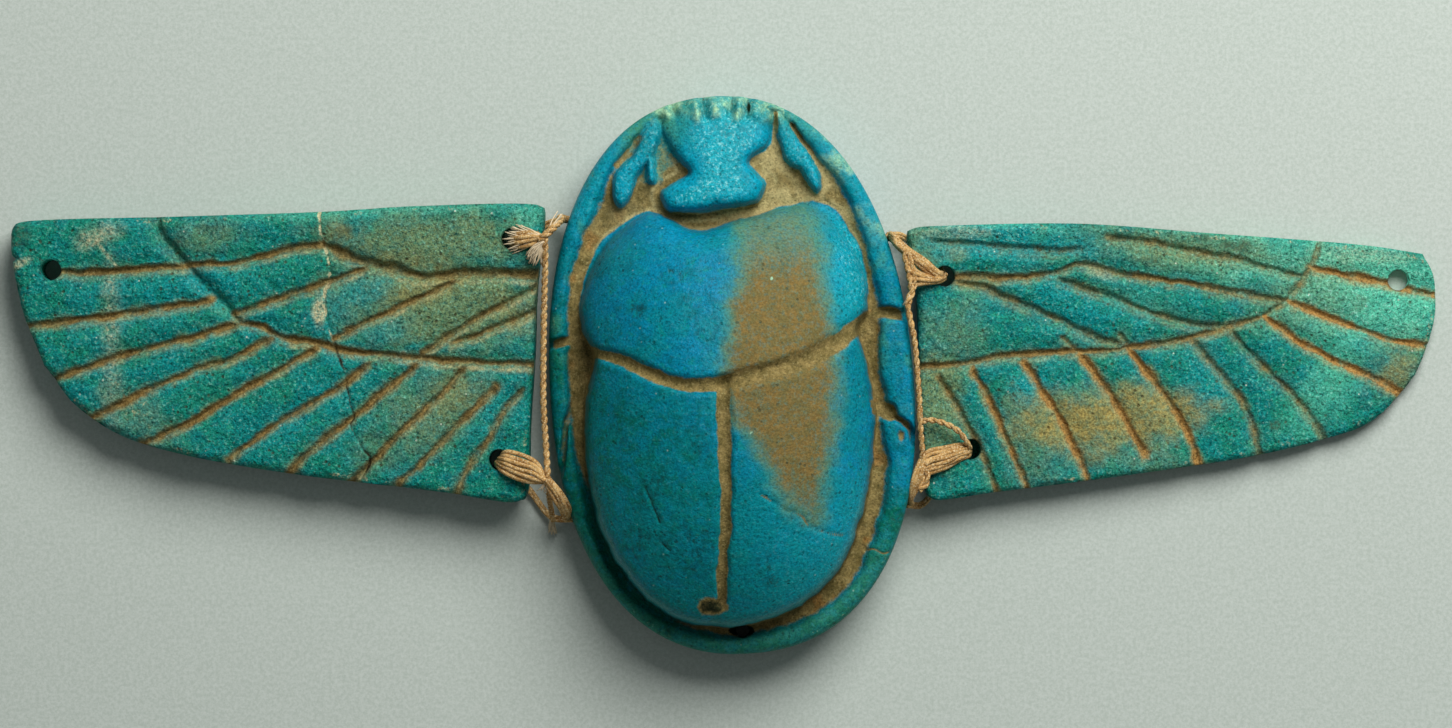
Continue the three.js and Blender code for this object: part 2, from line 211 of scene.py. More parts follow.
def slab(name, grid, top, bottom_round, material):
    """A closed slab on the ground: a fine top over a grid of points, walls from its edge, and a flat base."""
    rows, columns = grid.shape[:2]
    index = np.arange(rows * columns).reshape(rows, columns)
    vertices = [np.dstack([grid, top.reshape(rows, columns)]).reshape(-1, 3)]
    a, b, c, d = index[:-1, :-1], index[:-1, 1:], index[1:, 1:], index[1:, :-1]
    faces = np.stack([a, b, c, d], -1).reshape(-1, 4).tolist()
    edge = np.concatenate([index[0, :-1], index[:-1, -1], index[-1, :0:-1], index[:0:-1, 0]])
    rim = vertices[0][edge]
    inward = drawn_in(grid, edge, round(bottom_round / GRID)) - rim[:, :2]
    # Each ring down the wall: how far in it is drawn, then its level, which is 1 at the rim, 0 where the
    # lower edge starts to round off, and -1 at the ground.
    levels = [(0.0, share) for share in (0.75, 0.5, 0.25, 0.0)]
    levels += [(1 - math.cos(t), -math.sin(t)) for t in (math.pi / 6, math.pi / 3, math.pi / 2)]
    ring, start = edge, rows * columns
    low = np.minimum(bottom_round, 0.6 * rim[:, 2])
    for inset, level in levels:
        z = low + level * (rim[:, 2] - low if level >= 0 else low)
        vertices.append(np.column_stack([rim[:, :2] + inset * inward, z]))
        below = np.arange(start, start + len(edge))
        faces += np.stack([ring, below, np.roll(below, -1), np.roll(ring, -1)], -1).tolist()
        ring, start = below, start + len(edge)
    faces.append(ring.tolist())
    return new_object(name, np.vstack(vertices), faces, material)


def pierce(piece, holes):
    """Cuts round holes out of a piece. Each hole is (from, to, radius)."""
    for start, end, radius in holes:
        a, b = Vector(start) * MM, Vector(end) * MM
        bpy.ops.mesh.primitive_cylinder_add(vertices=40, radius=radius * MM, depth=(b - a).length)
        cutter = bpy.context.object
        cutter.location = (a + b) / 2
        cutter.rotation_euler = (b - a).to_track_quat("Z", "Y").to_euler()
        cut = piece.modifiers.new("hole", "BOOLEAN")
        cut.operation = "DIFFERENCE"
        cut.solver = "EXACT"
        cut.object = cutter
        bpy.context.view_layer.objects.active = piece
        bpy.ops.object.modifier_apply(modifier=cut.name)
        bpy.data.objects.remove(cutter)
    piece.data.shade_smooth()


def paint(piece, fields):
    """Stores a number for each vertex under each name, for the material to read."""
    for name, values in fields.items():
        layer = piece.data.attributes.new(name, "FLOAT", "POINT")
        layer.data.foreach_set("value", np.clip(values, 0, 1).astype(np.float32))


def places(piece):
    """A piece's vertices as x, y and z in millimetres."""
    flat = np.empty(len(piece.data.vertices) * 3, np.float32)
    piece.data.vertices.foreach_get("co", flat)
    return (flat.reshape(-1, 3).astype(float) / MM).T


def settle(piece, node):
    """Puts the piece on the root body and hides the solid from model.glb that it stands for."""
    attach(piece, "root")
    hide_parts(node)


# ---------------------------------------------------------------- materials


class Nodes:
    """A short way to build a material's node tree. Sizes of textures are millimetres."""

    def __init__(self, name):
        self.material = bpy.data.materials.new(name)
        self.material.use_nodes = True
        self.tree = self.material.node_tree
        self.shader = self.tree.nodes["Principled BSDF"]
        place = self.add("ShaderNodeVectorMath", operation="SCALE")
        self.put(place.inputs[0], self.add("ShaderNodeTexCoord").outputs["Object"])
        place.inputs["Scale"].default_value = 1 / MM
        self.place = place.outputs[0]

    def add(self, kind, **settings):
        node = self.tree.nodes.new(kind)
        for key, value in settings.items():
            setattr(node, key, value)
        return node

    def put(self, socket, value):
        if hasattr(value, "is_output"):
            self.tree.links.new(value, socket)
        else:
            socket.default_value = value

    def field(self, name):
        return self.add("ShaderNodeAttribute", attribute_name=name).outputs["Fac"]

    def texture(self, kind, output, size, **inputs):
        node = self.add(kind)
        self.put(node.inputs["Vector"], self.place)
        for key, value in {"Scale": 1 / size, **inputs}.items():
            node.inputs[key].default_value = value
        return node.outputs[output]

    def noise(self, size, detail=3.0, roughness=0.55):
        return self.texture("ShaderNodeTexNoise", "Fac", size, Detail=detail, Roughness=roughness)

    def cells(self, size):
        return self.texture("ShaderNodeTexVoronoi", "Distance", size)

    def math(self, operation, a, b=0.0):
        node = self.add("ShaderNodeMath", operation=operation)
        self.put(node.inputs[0], a)
        self.put(node.inputs[1], b)
        return node.outputs[0]

    def times(self, a, b):
        return self.math("MULTIPLY", a, b)

    def ramp(self, value, low, high, out_low=0.0, out_high=1.0):
        node = self.add("ShaderNodeMapRange", interpolation_type="SMOOTHSTEP")
        self.put(node.inputs["Value"], value)
        for key, number in zip(("From Min", "From Max", "To Min", "To Max"), (low, high, out_low, out_high)):
            node.inputs[key].default_value = number
        return node.outputs["Result"]

    def ragged(self, name, noise, spread=1.0, edge=0.18):
        """A field with its edge broken up by noise: 0 and 1 stay as they are, and 0.5 becomes blotches."""
        shift = self.times(self.math("SUBTRACT", noise, 0.5), spread)
        return self.ramp(self.math("ADD", self.field(name), shift), 0.5 - edge, 0.5 + edge)

    def soft(self, name, noise, spread):
        """A field made uneven by noise, with its soft edge kept."""
        uneven = self.ramp(noise, 0.3, 0.7, 1 - spread, 1 + spread)
        return self.math("MINIMUM", self.times(self.field(name), uneven), 1.0)

    def mix(self, share, a, b, blend="MIX"):
        node = self.add("ShaderNodeMix", data_type="RGBA", blend_type=blend)
        self.put(node.inputs[0], share)
        for socket, value in zip((node.inputs[6], node.inputs[7]), (a, b)):
            self.put(socket, value if hasattr(value, "is_output") else (*value, 1.0))
        return node.outputs[2]

    def bump(self, height, distance, under=None):
        node = self.add("ShaderNodeBump")
        node.inputs["Distance"].default_value = distance * MM
        node.inputs["Strength"].default_value = 1.0
        self.put(node.inputs["Height"], height)
        if under is not None:
            self.put(node.inputs["Normal"], under)
        return node.outputs["Normal"]

    def finished(self, colour, dullness, specular, normal=None):
        """Sets the shader's own sockets, and gives the material."""
        keys = ("Base Color", "Roughness", "Specular IOR Level", "Normal")
        for key, value in zip(keys, (colour, dullness, specular, normal)):
            if value is not None:
                self.put(self.shader.inputs[key], value)
        return self.material


def tone(red, green, blue):
    """An sRGB colour, 0 to 255, as the linear colour that a shader takes."""
    shares = (red / 255, green / 255, blue / 255)
    return tuple(c / 12.92 if c <= 0.04 else ((c + 0.055) / 1.055) ** 2.4 for c in shares)


class Glaze(Nodes):
    """Weathered faience: mottled and gritty glaze, worn in places, with soil in the carving and its pits, and
    painted shade and painted highlights in places.
    """

    def __init__(self, name, which):
        super().__init__(name)
        self.tones = {key: tone(*pair[which]) for key, pair in TONES.items()}
        self.grain = {key: pair[which] for key, pair in GRAIN.items()}
        self.wide, self.mid = self.noise(3.6, 4.0, 0.62), self.noise(1.2, 4.0, 0.7)
        self.dust, self.grit = self.noise(0.55, 5.0, 0.8), self.noise(0.36, 2.5, 0.7)
        self.colour = self.two_tone(self.wide, 0.40, 0.60, "glaze")

    def two_tone(self, noise, low, high, name):
        return self.mix(self.ramp(noise, low, high), self.tones[name], self.tones[name + "_other"])

    def over(self, share, name):
        """Lays one of the tones over the colour so far."""
        self.colour = self.mix(share, self.colour, self.tones[name])

    def mottling(self):
        mid, dust, clouds = self.mid, self.dust, self.grain["clouds"]
        self.over(self.ramp(mid, 0.50, 0.68, 0.0, clouds), "cloud")
        self.over(self.ramp(mid, 0.32, 0.46, clouds, 0.0), "cloud_other")
        # the deep green and bright tones also lay painted shade and painted light where their fields hold it
        for name, noise, spread in (
            ("deep_green_and_shade", mid, 0.6), ("bright", mid, 0.35), ("olive", dust, 0.45), ("azure", mid, 0.45),
        ):
            self.over(self.soft(name, noise, spread), name)

    def crystals(self):
        """Pale and dark grains in the glaze, most of all where it is bright, and a few large flecks."""
        bright, grain = self.field("bright"), self.grain
        shine = self.ramp(bright, 0.3, 0.8, 0.0, grain["crystals"])
        self.over(self.times(self.ramp(self.dust, 0.34, 0.46, 1.0, 0.0), shine), "cloud")
        self.over(self.times(self.ramp(self.dust, 0.54, 0.66), shine), "speck_pale")
        pale = self.ramp(bright, 0.3, 0.9, grain["pale"], grain["sparkle"])
        self.over(self.times(self.ramp(self.grit, 0.55, 0.70), pale), "speck_pale")
        self.over(self.ramp(self.grit, 0.30, 0.47, grain["dark"], 0.0), "speck_dark")
        flecks = self.times(self.ramp(self.cells(1.5), 0.03, 0.10, 1.0, 0.0), self.ramp(self.mid, 0.46, 0.56))
        self.over(self.times(flecks, grain["flecks"]), "fleck")

    def wear(self):
        """The stain, the pits and the worn places, with pale painted highlights along the grooves' lower lips
        and the back's lower edge. Gives the stain and the pits.
        """
        stain = self.soft("stain", self.dust, 0.35)
        self.colour = self.mix(stain, self.colour, self.two_tone(self.mid, 0.38, 0.62, "stain"))
        pits = self.times(self.ramp(self.cells(0.9), 0.10, 0.26, 1.0, 0.0), self.ramp(self.wide, 0.46, 0.58))
        spots = self.times(self.soft("spots", self.grit, 0.9), 0.7)
        pits = self.math("MAXIMUM", self.times(pits, self.grain["pits"]), spots)
        self.over(pits, "pit")
        self.over(self.ragged("worn", self.dust, 1.6), "worn")
        # pale tones laid as painted highlights along the grooves' lower lips and the back's lower edge, as
        # well as real crust and faded patches
        self.over(self.soft("lip_crust_and_highlight", self.dust, 0.7), "lip_crust_and_highlight")
        self.over(self.soft("faded", self.grit, 0.8), "worn")
        return stain, pits

    def soil(self):
        """Soil of several tones with dark and pale grains, then the dark cracks and crevices, which also
        carry painted shade. Gives the soil's share.
        """
        grit, tones, mix = self.grit, self.tones, self.mix
        soil = self.ragged("soil", self.dust, self.grain["soil_spread"], self.grain["soil_edge"])
        earth = self.two_tone(self.mid, 0.36, 0.64, "soil")
        earth = mix(self.soft("rust", self.dust, 0.5), earth, tones["rust"])
        dusty = self.ramp(self.dust, 0.54, 0.72, 0.0, 0.55)
        earth = mix(self.math("MAXIMUM", dusty, self.soft("dusty", self.mid, 0.4)), earth, tones["dust"])
        earth = mix(self.ramp(grit, 0.30, 0.45, 0.5, 0.0), earth, tones["crevice_dirt_and_shade"])
        earth = mix(self.ramp(grit, 0.56, 0.70, 0.0, 0.45), earth, tones["dust"])
        self.colour = mix(soil, self.colour, earth)
        # dark cracks and dirt, and painted shade in crevices and under the head
        self.over(self.ragged("crevice_dirt_and_shade", self.dust, 0.6), "crevice_dirt_and_shade")
        return soil


def glaze(name, which):
    n = Glaze(name, which)
    n.mottling()
    n.crystals()
    stain, pits = n.wear()
    soil = n.soil()
    shade = n.ramp(n.noise(0.24, 2.0, 0.7), 0.30, 0.70, 1 - n.grain["shade"], 1 + n.grain["shade"])
    dull = n.math("MAXIMUM", n.math("MAXIMUM", soil, stain), n.field("olive"))
    bumps = n.bump(n.mid, n.grain["height"] * 1.6, n.bump(n.grit, n.grain["height"]))
    return n.finished(
        n.mix(1.0, n.colour, shade, "MULTIPLY"), n.ramp(dull, 0.0, 1.0, n.grain["gloss"], 0.85), 0.1,
        n.bump(n.math("SUBTRACT", 1.0, pits), 0.08, bumps),
    )


def linen():
    """Undyed linen thread: fine fibres along each strand, darkened here and there."""
    n = Nodes("linen")
    colour = n.mix(n.ramp(n.noise(1.1), 0.35, 0.65), tone(206, 166, 104), tone(164, 120, 64))
    colour = n.mix(n.ramp(n.noise(0.16, 2.0), 0.48, 0.68), colour, tone(228, 206, 160))
    colour = n.mix(n.ramp(n.noise(0.22, 2.0), 0.36, 0.46, 0.6, 0.0), colour, tone(104, 72, 36))
    colour = n.mix(n.field("pale"), colour, tone(232, 216, 184))
    return n.finished(colour, 0.9, 0.2, n.bump(n.noise(0.12, 2.0), 0.05))


# Tones in sRGB, 0 to 255: the body's, then the wings'. The deep green tone also serves as painted shade, the
# crevice tone as painted shadow, and the pale worn, lip and bright tones as painted highlights.
TONES = {
    "glaze": ((0, 128, 162), (4, 132, 128)), "glaze_other": ((2, 128, 144), (12, 128, 108)),
    "cloud": ((0, 108, 126), (0, 108, 112)), "cloud_other": ((4, 132, 130), (30, 146, 118)),
    "olive": ((62, 142, 116), (108, 134, 94)), "deep_green_and_shade": ((4, 106, 88), (8, 84, 72)),
    "bright": ((14, 168, 184), (88, 192, 160)), "azure": ((0, 156, 184), (2, 142, 144)),
    "speck_dark": ((0, 74, 84), (0, 62, 58)), "speck_pale": ((150, 222, 222), (150, 216, 196)),
    "fleck": ((190, 216, 206), (214, 222, 204)), "stain": ((128, 106, 58), (160, 144, 82)),
    "stain_other": ((112, 102, 60), (134, 132, 82)), "pit": ((14, 54, 48), (60, 54, 32)),
    "worn": ((152, 192, 160), (184, 182, 144)), "soil": ((142, 124, 76), (130, 114, 68)),
    "soil_other": ((108, 96, 54), (88, 80, 46)), "rust": ((164, 116, 58), (172, 128, 68)),
    "dust": ((176, 162, 112), (168, 156, 108)), "lip_crust_and_highlight": ((160, 206, 166), (172, 168, 122)),
    "crevice_dirt_and_shade": ((18, 34, 20), (36, 32, 18)),
}
# Shares of each kind of grain, the bumps' height in millimetres, the gloss and the soil's ragged edge.
GRAIN = {
    "clouds": (0.75, 0.8), "dark": (0.6, 0.85), "pale": (0.06, 0.36), "flecks": (0.35, 0.8),
    "pits": (0.5, 0.7), "height": (0.08, 0.17), "gloss": (0.42, 0.5), "shade": (0.22, 0.38),
    "sparkle": (0.6, 0.75), "crystals": (0.75, 0.3), "soil_edge": (0.26, 0.5), "soil_spread": (0.9, 0.8),
}
body_glaze = glaze("body_glaze", 0)
wing_glaze = glaze("wing_glaze", 1)
linen_thread = linen()

# ---------------------------------------------------------------- the beetle

BACK = [
    (-15.4, 2.5), (-16.7, 5.2), (-16.8, 9.5), (-14.8, 14.3), (-9.6, 17.9), (-4.7, 15.9), (0.5, 17.1),
    (6, 18.7), (9.8, 18.9), (12.7, 15.8), (14.3, 11.5), (14.2, 7.2), (13.3, 5.2), (14.6, 0), (15.2, -6),
    (14.5, -12), (12.6, -18.6), (9.7, -22.9), (4.5, -26.2), (-1, -27.5), (-6.5, -26.5), (-11.2, -22.8),
    (-14.4, -17.6), (-16.2, -10), (-16.3, -3),
]
RIM_INSIDE = [
    (-2, 29.6), (4.4, 28.9), (6.1, 27.4), (8.4, 25), (10.5, 22.5), (11.9, 20.2), (13.3, 17.4), (14.4, 14.3),
    (15.1, 11.5), (15.7, 8.2), (15.8, 4.9), (15.7, 2.5), (15.9, 0.7), (16.2, -1), (16.5, -2.6), (16, -4.4),
    (16.3, -6), (16.6, -9), (16.6, -12.4), (15.7, -16.6), (14.8, -19), (13.8, -21.2), (12.4, -23.2),
    (10, -25.2), (6.8, -27), (3.6, -28.2), (0.5, -28.6), (-4, -28.2), (-8, -26.7), (-12, -23.6),
    (-15.5, -18.2), (-17.2, -11), (-18.2, -4), (-18.5, 2), (-18.6, 7.4), (-18.2, 11.5), (-16.9, 14.9),
    (-15.5, 18.1), (-14.5, 20.9), (-12.8, 23.8), (-10.6, 26.2), (-8.6, 28.3),
]
HEAD = [
    (-8.2, 20.2), (-6.1, 21.5), (-5.1, 22.4), (-5.9, 23.5), (-7.5, 25.4), (-8.4, 27), (-8.6, 29.6),
    (-5, 31.6), (-1, 32), (2.4, 31.8), (4.8, 30.6), (4.3, 28.6), (3.9, 26.9), (3.7, 25.7), (2.9, 24.6),
    (1.4, 23.4), (2.4, 22.4), (3.3, 21.2), (2.6, 19.6), (1.5, 19), (-1.2, 18.5), (-5.4, 18), (-7.5, 18.3),
    (-8.1, 19.2),
]
SHINS = [
    [(-8.7, 28.2), (-9.9, 27.2), (-10.6, 25.5), (-11.4, 24.1), (-12.3, 23.1), (-13.2, 22.1), (-13.5, 20.6),
     (-13.3, 19.1), (-12.5, 18.5), (-11.7, 19.4), (-11.3, 20.6), (-11, 21.9), (-10.2, 22.9), (-9.3, 23.9),
     (-8.6, 25.6), (-8.3, 27.4)],
    [(4.6, 28.8), (6.2, 27.1), (7.4, 25.4), (8.5, 23.8), (9.2, 22.2), (9.3, 21), (8.9, 20.3), (8, 21.2),
     (7.1, 22.5), (6, 23.2), (5.2, 24), (4.8, 25.4), (4.5, 27)],
    [(-9.7, 24.4), (-9.9, 22.9), (-9.6, 21.4), (-9.1, 21.2), (-8.9, 22.4), (-9.1, 23.9)],
]
# The seams between the plates: points, then the half width at each end and the depth.
SEAMS = [
    ([(-17, 3), (-13.5, 2.1), (-10, 0.6), (-5, -0.9), (0, -0.5), (5, 0.8), (10, 3), (12.6, 5), (15.5, 6.6)],
     (0.6, 1), 0.8),
    ([(-1.3, -0.9), (-1.3, -6), (-1.1, -15), (-1.4, -20.5), (-1.5, -24.8)], (0.8, 0.5), 0.7),
]
# The gaps between the legs on the rim: points, half width, and how much soil is in them.
LEG_GAPS = [
    ([(-17.6, 4), (-19.2, 3.6), (-22, 2.9)], 0.4, 0.9), ([(15.2, 7), (20.5, 6.6)], 0.5, 1),
    ([(-17.8, -3.4), (-18.7, -6), (-19.1, -9), (-19.7, -13)], 0.3, 0.5),
    ([(15.4, -3.4), (16.9, -4)], 0.7, 1),
    ([(16.8, -4), (18.2, -4.7), (19.1, -5.7), (19.8, -7.6)], 0.28, 0.8),
    ([(-10.3, 26.2), (-11.6, 24.7), (-13, 23.2)], 0.34, 0.95),
    ([(6.2, 27.6), (7.6, 25.7), (9.4, 23.2)], 0.26, 0.75), ([(4.5, 28.8), (4.45, 26.8)], 0.2, 0.8),
]
TEETH_HALF_WIDTH = 7.4
HEAD_NOTCHES = [-7.3, -3.6, -0.3, 1.5]
HEAD_RIDGES = [-8.1, -4.5, -2.2, 0.6, 2.9, 4.6]
# The threads' holes in the sides, front and rear, left and right: where each starts, and its way in.
SIDE_HOLES = [
    ((-18.5, 17.3), (1, -0.35)),
    ((-18, -15.8), (1, 0.4)),
    ((16.7, 15.6), (-1, -0.35)),
    ((18.9, -14.2), (-1, 0.3)),
]
# Small places as x, y and half sizes.
HEAD_SOIL = (-2, 23, 9, 6)
TAIL_SOIL = (-2.6, -25.2, 1.6, 1.1)
CHIP_DENT, CHIP_SOIL = (18.2, -6.7, 0.7, 1), (18.2, -6.7, 0.8, 1.2)
PIT_DENT, PIT_DARK = (0.6, -28, 1.4, 0.6), (0.6, -28, 1.3, 0.6)
TOOTH_CRACK = (1.45, 29.5, 0.3, 0.9)
# Cracks and scratches: points, half width, depth.
BODY_CRACKS = [
    ([(2.8, -12.9), (4.3, -13.8), (5.7, -14.7), (7.1, -15.1), (7.9, -16.2), (9.4, -16.9), (10.9, -17.3),
      (12.7, -17.4)],
     0.2, 0.15),
    ([(14.3, -19.2), (15.2, -19), (16.2, -19.5), (17.1, -19.3)], 0.16, 0.15),
]
BODY_SCRATCHES = [([(-9.7, -12.2), (-8.2, -15.9)], 0.25, 0.12), ([(-8.2, -17.9), (-7.1, -19)], 0.25, 0.12)]
# Patches of fine dark specks in the glaze: x, y, half sizes and strength.
BODY_SPOTS = [
    (-6.8, 11.2, 2.4, 1.6, 0.75), (-10.7, 7.2, 1.5, 1.3, 0.8), (-5.2, 7.6, 1.6, 1.6, 0.6),
    (-12.3, 12.4, 1.6, 1, 0.5), (-3.2, 4.4, 2, 1.8, 0.5), (-4.4, -6.5, 2.6, 3.5, 0.5),
    (-8.6, -12.4, 4, 3.4, 0.6), (-5, -18.6, 4, 4, 0.7), (-10.6, -18.4, 2.4, 3, 0.6),
    (3.4, -21.4, 2.4, 2.6, 0.6), (5, -15.6, 2.4, 1.4, 0.45), (-12.6, -6, 1.6, 3, 0.4),
    (5.6, 12.6, 1.2, 2.6, 0.4), (-0.6, 26.6, 2.6, 1.4, 0.5), (17.6, -15.4, 1.2, 3, 0.5),
    (-8, -27.6, 3.4, 1.6, 0.6),
]
BODY_FLECKS = [(1.7, -6.1), (14.5, -13.1), (3.9, 10.6)]
# The edge of the long tan stain down the right of the back.
STAIN = [
    (0.4, 17), (2.5, 18.2), (6.5, 18.6), (9.2, 16), (9.4, 12), (10.1, 7), (10.7, 2), (10.7, -3), (10.2, -8),
    (9.8, -12.5), (8.7, -16), (6.6, -14.4), (4.4, -11), (1.8, -7), (-0.6, -3), (-1.4, -0.5), (-0.6, 4),
    (-0.4, 8), (0.4, 12),
]
# Regions of the upper side. Each fades in along x or y, from the first number to the second.
REGIONS = {
    "teeth": [("y", 26.6, 28.4)],
    "tooth_crust": [("y", 27.2, 29.2)],
    "behind_teeth": [("y", 28.5, 25.5)],
    "front_edge": [("y", 24, 28.5)],
    "cheek": [("x", -2.5, -6.5), ("y", 21, 25)],
    "cheek_front": [("y", 25, 28)],
    "under_head": [("x", -8.5, -6), ("y", 20.5, 18.5)],
    "beside_left_shin": [("x", -5.5, -7.5), ("x", -14, -11), ("y", 19.5, 22)],
    "left_shin": [("x", -6, -12)],
    "head_soil": [("y", 14, 19)],
    "front_feet": [("y", 12, 16)],
    "back_front": [("y", 7, 16)],
    "stain_front": [("y", 9, 16)],
    "stain_rear": [("y", -10, -15)],
    "right_shoulder": [("x", 7, 13), ("y", 2, 10)],
    "lower_back": [("y", -6, -18)],
    "lower_back_right": [("x", -3, 5)],
    "back_lower_edge": [("y", -8, -16)],
    "lower_left_foot": [("x", 2, -6), ("y", -3, -12)],
    "lower_left": [("x", -3, -8), ("y", -9, -14)],
    "front_half": [("y", -8, 4)],
    "rim_rear": [("y", 6, -14)],
    "rim_tail": [("y", -14, -24)],
    "rim_left": [("x", -15, -18), ("y", 12, 4)],
    "rim_left_side": [("x", -13, -17)],
    "rim_left_front": [("x", -8, -12), ("y", 12, 18)],
    "rim_right_legs": [("x", 10, 14), ("y", -15, -11), ("y", 8, 4)],
    "rim_right_front": [("x", 4, 9), ("y", 9, 16)],
    "rim_right_corner": [("x", 3, 8), ("y", 13, 19)],
}


def base_point(turn):
    """The point of the base's oval at a turn from the +X direction."""
    lean = math.radians(BASE["lean"])
    c, s = np.cos(turn), np.sin(turn)
    y = BASE["half_length"] * np.sign(s) * np.abs(s) ** (2 / BASE["power"])
    x = BASE["half_width"] * (1 - BASE["taper"] * y / BASE["half_length"])
    x = x * np.sign(c) * np.abs(c) ** (2 / BASE["power"])
    px = BASE["x"] + x * math.cos(lean) - y * math.sin(lean)
    py = BASE["y"] + x * math.sin(lean) + y * math.cos(lean)
    return np.stack([px, py], -1)


def oval_grid(count):
    """A square grid bent to fill the base's oval."""
    side = np.linspace(-1, 1, count)
    a, b = np.meshgrid(side, side)
    wide = np.abs(a) > np.abs(b)
    safe_a, safe_b = np.where(a == 0, 1, a), np.where(b == 0, 1, b)
    radius = np.where(wide, np.abs(a), np.abs(b))
    turn = np.where(wide, math.pi / 4 * b / safe_a, math.pi / 2 - math.pi / 4 * a / safe_b)
    turn = turn + np.where(np.where(wide, a, b) < 0, math.pi, 0)
    centre = np.array([BASE["x"], BASE["y"]])
    return centre + radius[..., None] * (base_point(turn) - centre)


def smooth_max(a, b, blend):
    """The higher of two surfaces, with a fillet where they meet."""
    share = np.clip(1 - np.abs(a - b) / blend, 0, None)
    return np.maximum(a, b) + share**2 * blend / 4


def raised(floor, top, depth, wall=0.9):
    """A surface that steps up from the floor to a top inside an outline, with a side about wall wide."""
    return floor + (top - floor) * rise(-wall * 0.6, wall * 0.4, depth)


class Beetle:
    """Every field of the beetle's upper side, worked out once for a set of points."""

    def __init__(self, x, y):
        self.x, self.y = x, y
        wx, wy = (v + 0.16 * roughness(x, y, 2.4, seed) for v, seed in ((x, 5), (y, 11)))
        oval = base_point(np.linspace(0, 2 * math.pi, 400, endpoint=False))
        self.edge = depth_inside(x, y, oval, 8.0)
        self.back, self.basin, self.head, *shins = (
            depth_inside(wx, wy, smooth_line(outline, True)) for outline in (BACK, RIM_INSIDE, HEAD, *SHINS)
        )
        self.shins = most(*shins)
        gaps = [(nearest(wx, wy, smooth_line(line), 4.0)[0] / half, soil) for line, half, soil in LEG_GAPS]
        self.gaps = np.minimum.reduce([reach for reach, _ in gaps])
        self.gap_soil = most(*(soil * rise(1.7, 0.7, reach) for reach, soil in gaps))
        self.seams = []
        for line, (first, last), depth in SEAMS:
            distance, share = nearest(wx, wy, smooth_line(line), 4.0)
            self.seams.append((distance / (first + (last - first) * share), depth))
        self.notches, self.ridges = self.rays(HEAD_NOTCHES), self.rays(HEAD_RIDGES)

    def rays(self, starts):
        """The distance to short lines that fan out from the middle of the head to its front edge."""
        front = BASE["y"] + BASE["half_length"]
        away = np.full(self.x.shape, 4.0)
        for k, start in enumerate(starts):
            lean = (start - HEAD_CROWN["x"]) / (front - HEAD_CROWN["y"])
            inner = front - 2.0 - 0.5 * (k % 2)
            ends = np.array([(start + lean * (inner - front), inner), (start + lean * 2, front + 2)])
            away = np.minimum(away, nearest(self.x, self.y, ends, 4.0)[0])
        return away

    def region(self, name):
        """A named region's share at each point."""
        along = {"x": self.x, "y": self.y}
        return np.prod([rise(start, whole, along[axis]) for axis, start, whole in REGIONS[name]], axis=0)

    def across_teeth(self):
        return np.abs(self.x - HEAD_CROWN["x"]) < TEETH_HALF_WIDTH

    def crown(self):
        x = np.abs((self.x - CROWN["x"]) / CROWN["half_width"]) ** CROWN["squareness"]
        y = np.abs((self.y - CROWN["y"]) / CROWN["half_length"]) ** CROWN["squareness"]
        reach = (x + y) ** (1 / CROWN["squareness"])
        return BACK_EDGE + (BACK_TOP - BACK_EDGE) * np.clip(1 - reach**2, 0, None) ** CROWN["fullness"]

    def head_crown(self):
        x = (self.x - HEAD_CROWN["x"]) / HEAD_CROWN["half_width"]
        y = (self.y - HEAD_CROWN["y"]) / HEAD_CROWN["half_length"]
        return HEAD_CROWN["z"] + HEAD_CROWN["height"] * np.sqrt(np.clip(1 - x**2 - y**2, 0.05, None))

    def rim(self, floor):
        """The rim round the channel, with the gaps between the legs cut down to the channel's floor."""
        top = RIM_TOP + 0.08 * roughness(self.x, self.y, 3.0, 31) - 0.5 * quarter_round(-self.basin, 1.4)
        gap = rise(1.8, 0.4, self.gaps) * rise(0.5, 0.2, self.basin)
        return floor + (top - floor) * rise(1.1, -0.5, self.basin) * (1 - 0.9 * gap)

    def forms(self):
        """The back, head, shins and rim, before the fine carving and the damage."""
        floor = FLOOR + 0.12 * roughness(self.x, self.y, 1.6, 21)
        floor = floor + 1.3 * bell(off(self.x, self.y, *HEAD_SOIL))
        crown = self.crown() - quarter_round(self.back, 1.2 + 2.3 * self.region("back_front"))
        for reach, depth in self.seams:
            crown = crown - depth * rise(1.7, 0.2, reach)
        back = raised(floor, crown, self.back)
        head = raised(floor, self.head_crown() - quarter_round(self.head, 1.3), self.head)
        shin = raised(floor, SHIN_TOP - quarter_round(self.shins, 1.2) * 0.6, self.shins)
        return smooth_max(smooth_max(self.rim(floor), back, 0.5), smooth_max(head, shin, 0.4), 0.4)

    def height(self):
        x, y = self.x, self.y
        teeth = self.region("teeth") * self.across_teeth()
        z = self.forms() + teeth * (0.5 * bell(self.ridges, 0.6) - 0.9 * bell(self.notches, 0.45))
        z = z - quarter_round(self.edge, RIM_ROUND * (1.5 + 0.9 * self.region("rim_left_side"))) * 0.85
        for line, half, depth in BODY_CRACKS + BODY_SCRATCHES:
            z = z - depth * rise(half * 1.6, 0, nearest(x, y, smooth_line(line), 1.5)[0])
        z = z - 0.3 * rise(0.9, 0.3, off(x, y, *CHIP_DENT) + 0.15 * roughness(x, y, 0.8, 71))
        z = z - 1.2 * rise(1.1, 0.4, off(x, y, *PIT_DENT))
        return z + 0.07 * roughness(x, y, 4.5, 45) + 0.02 * roughness(x, y, 0.7, 41)

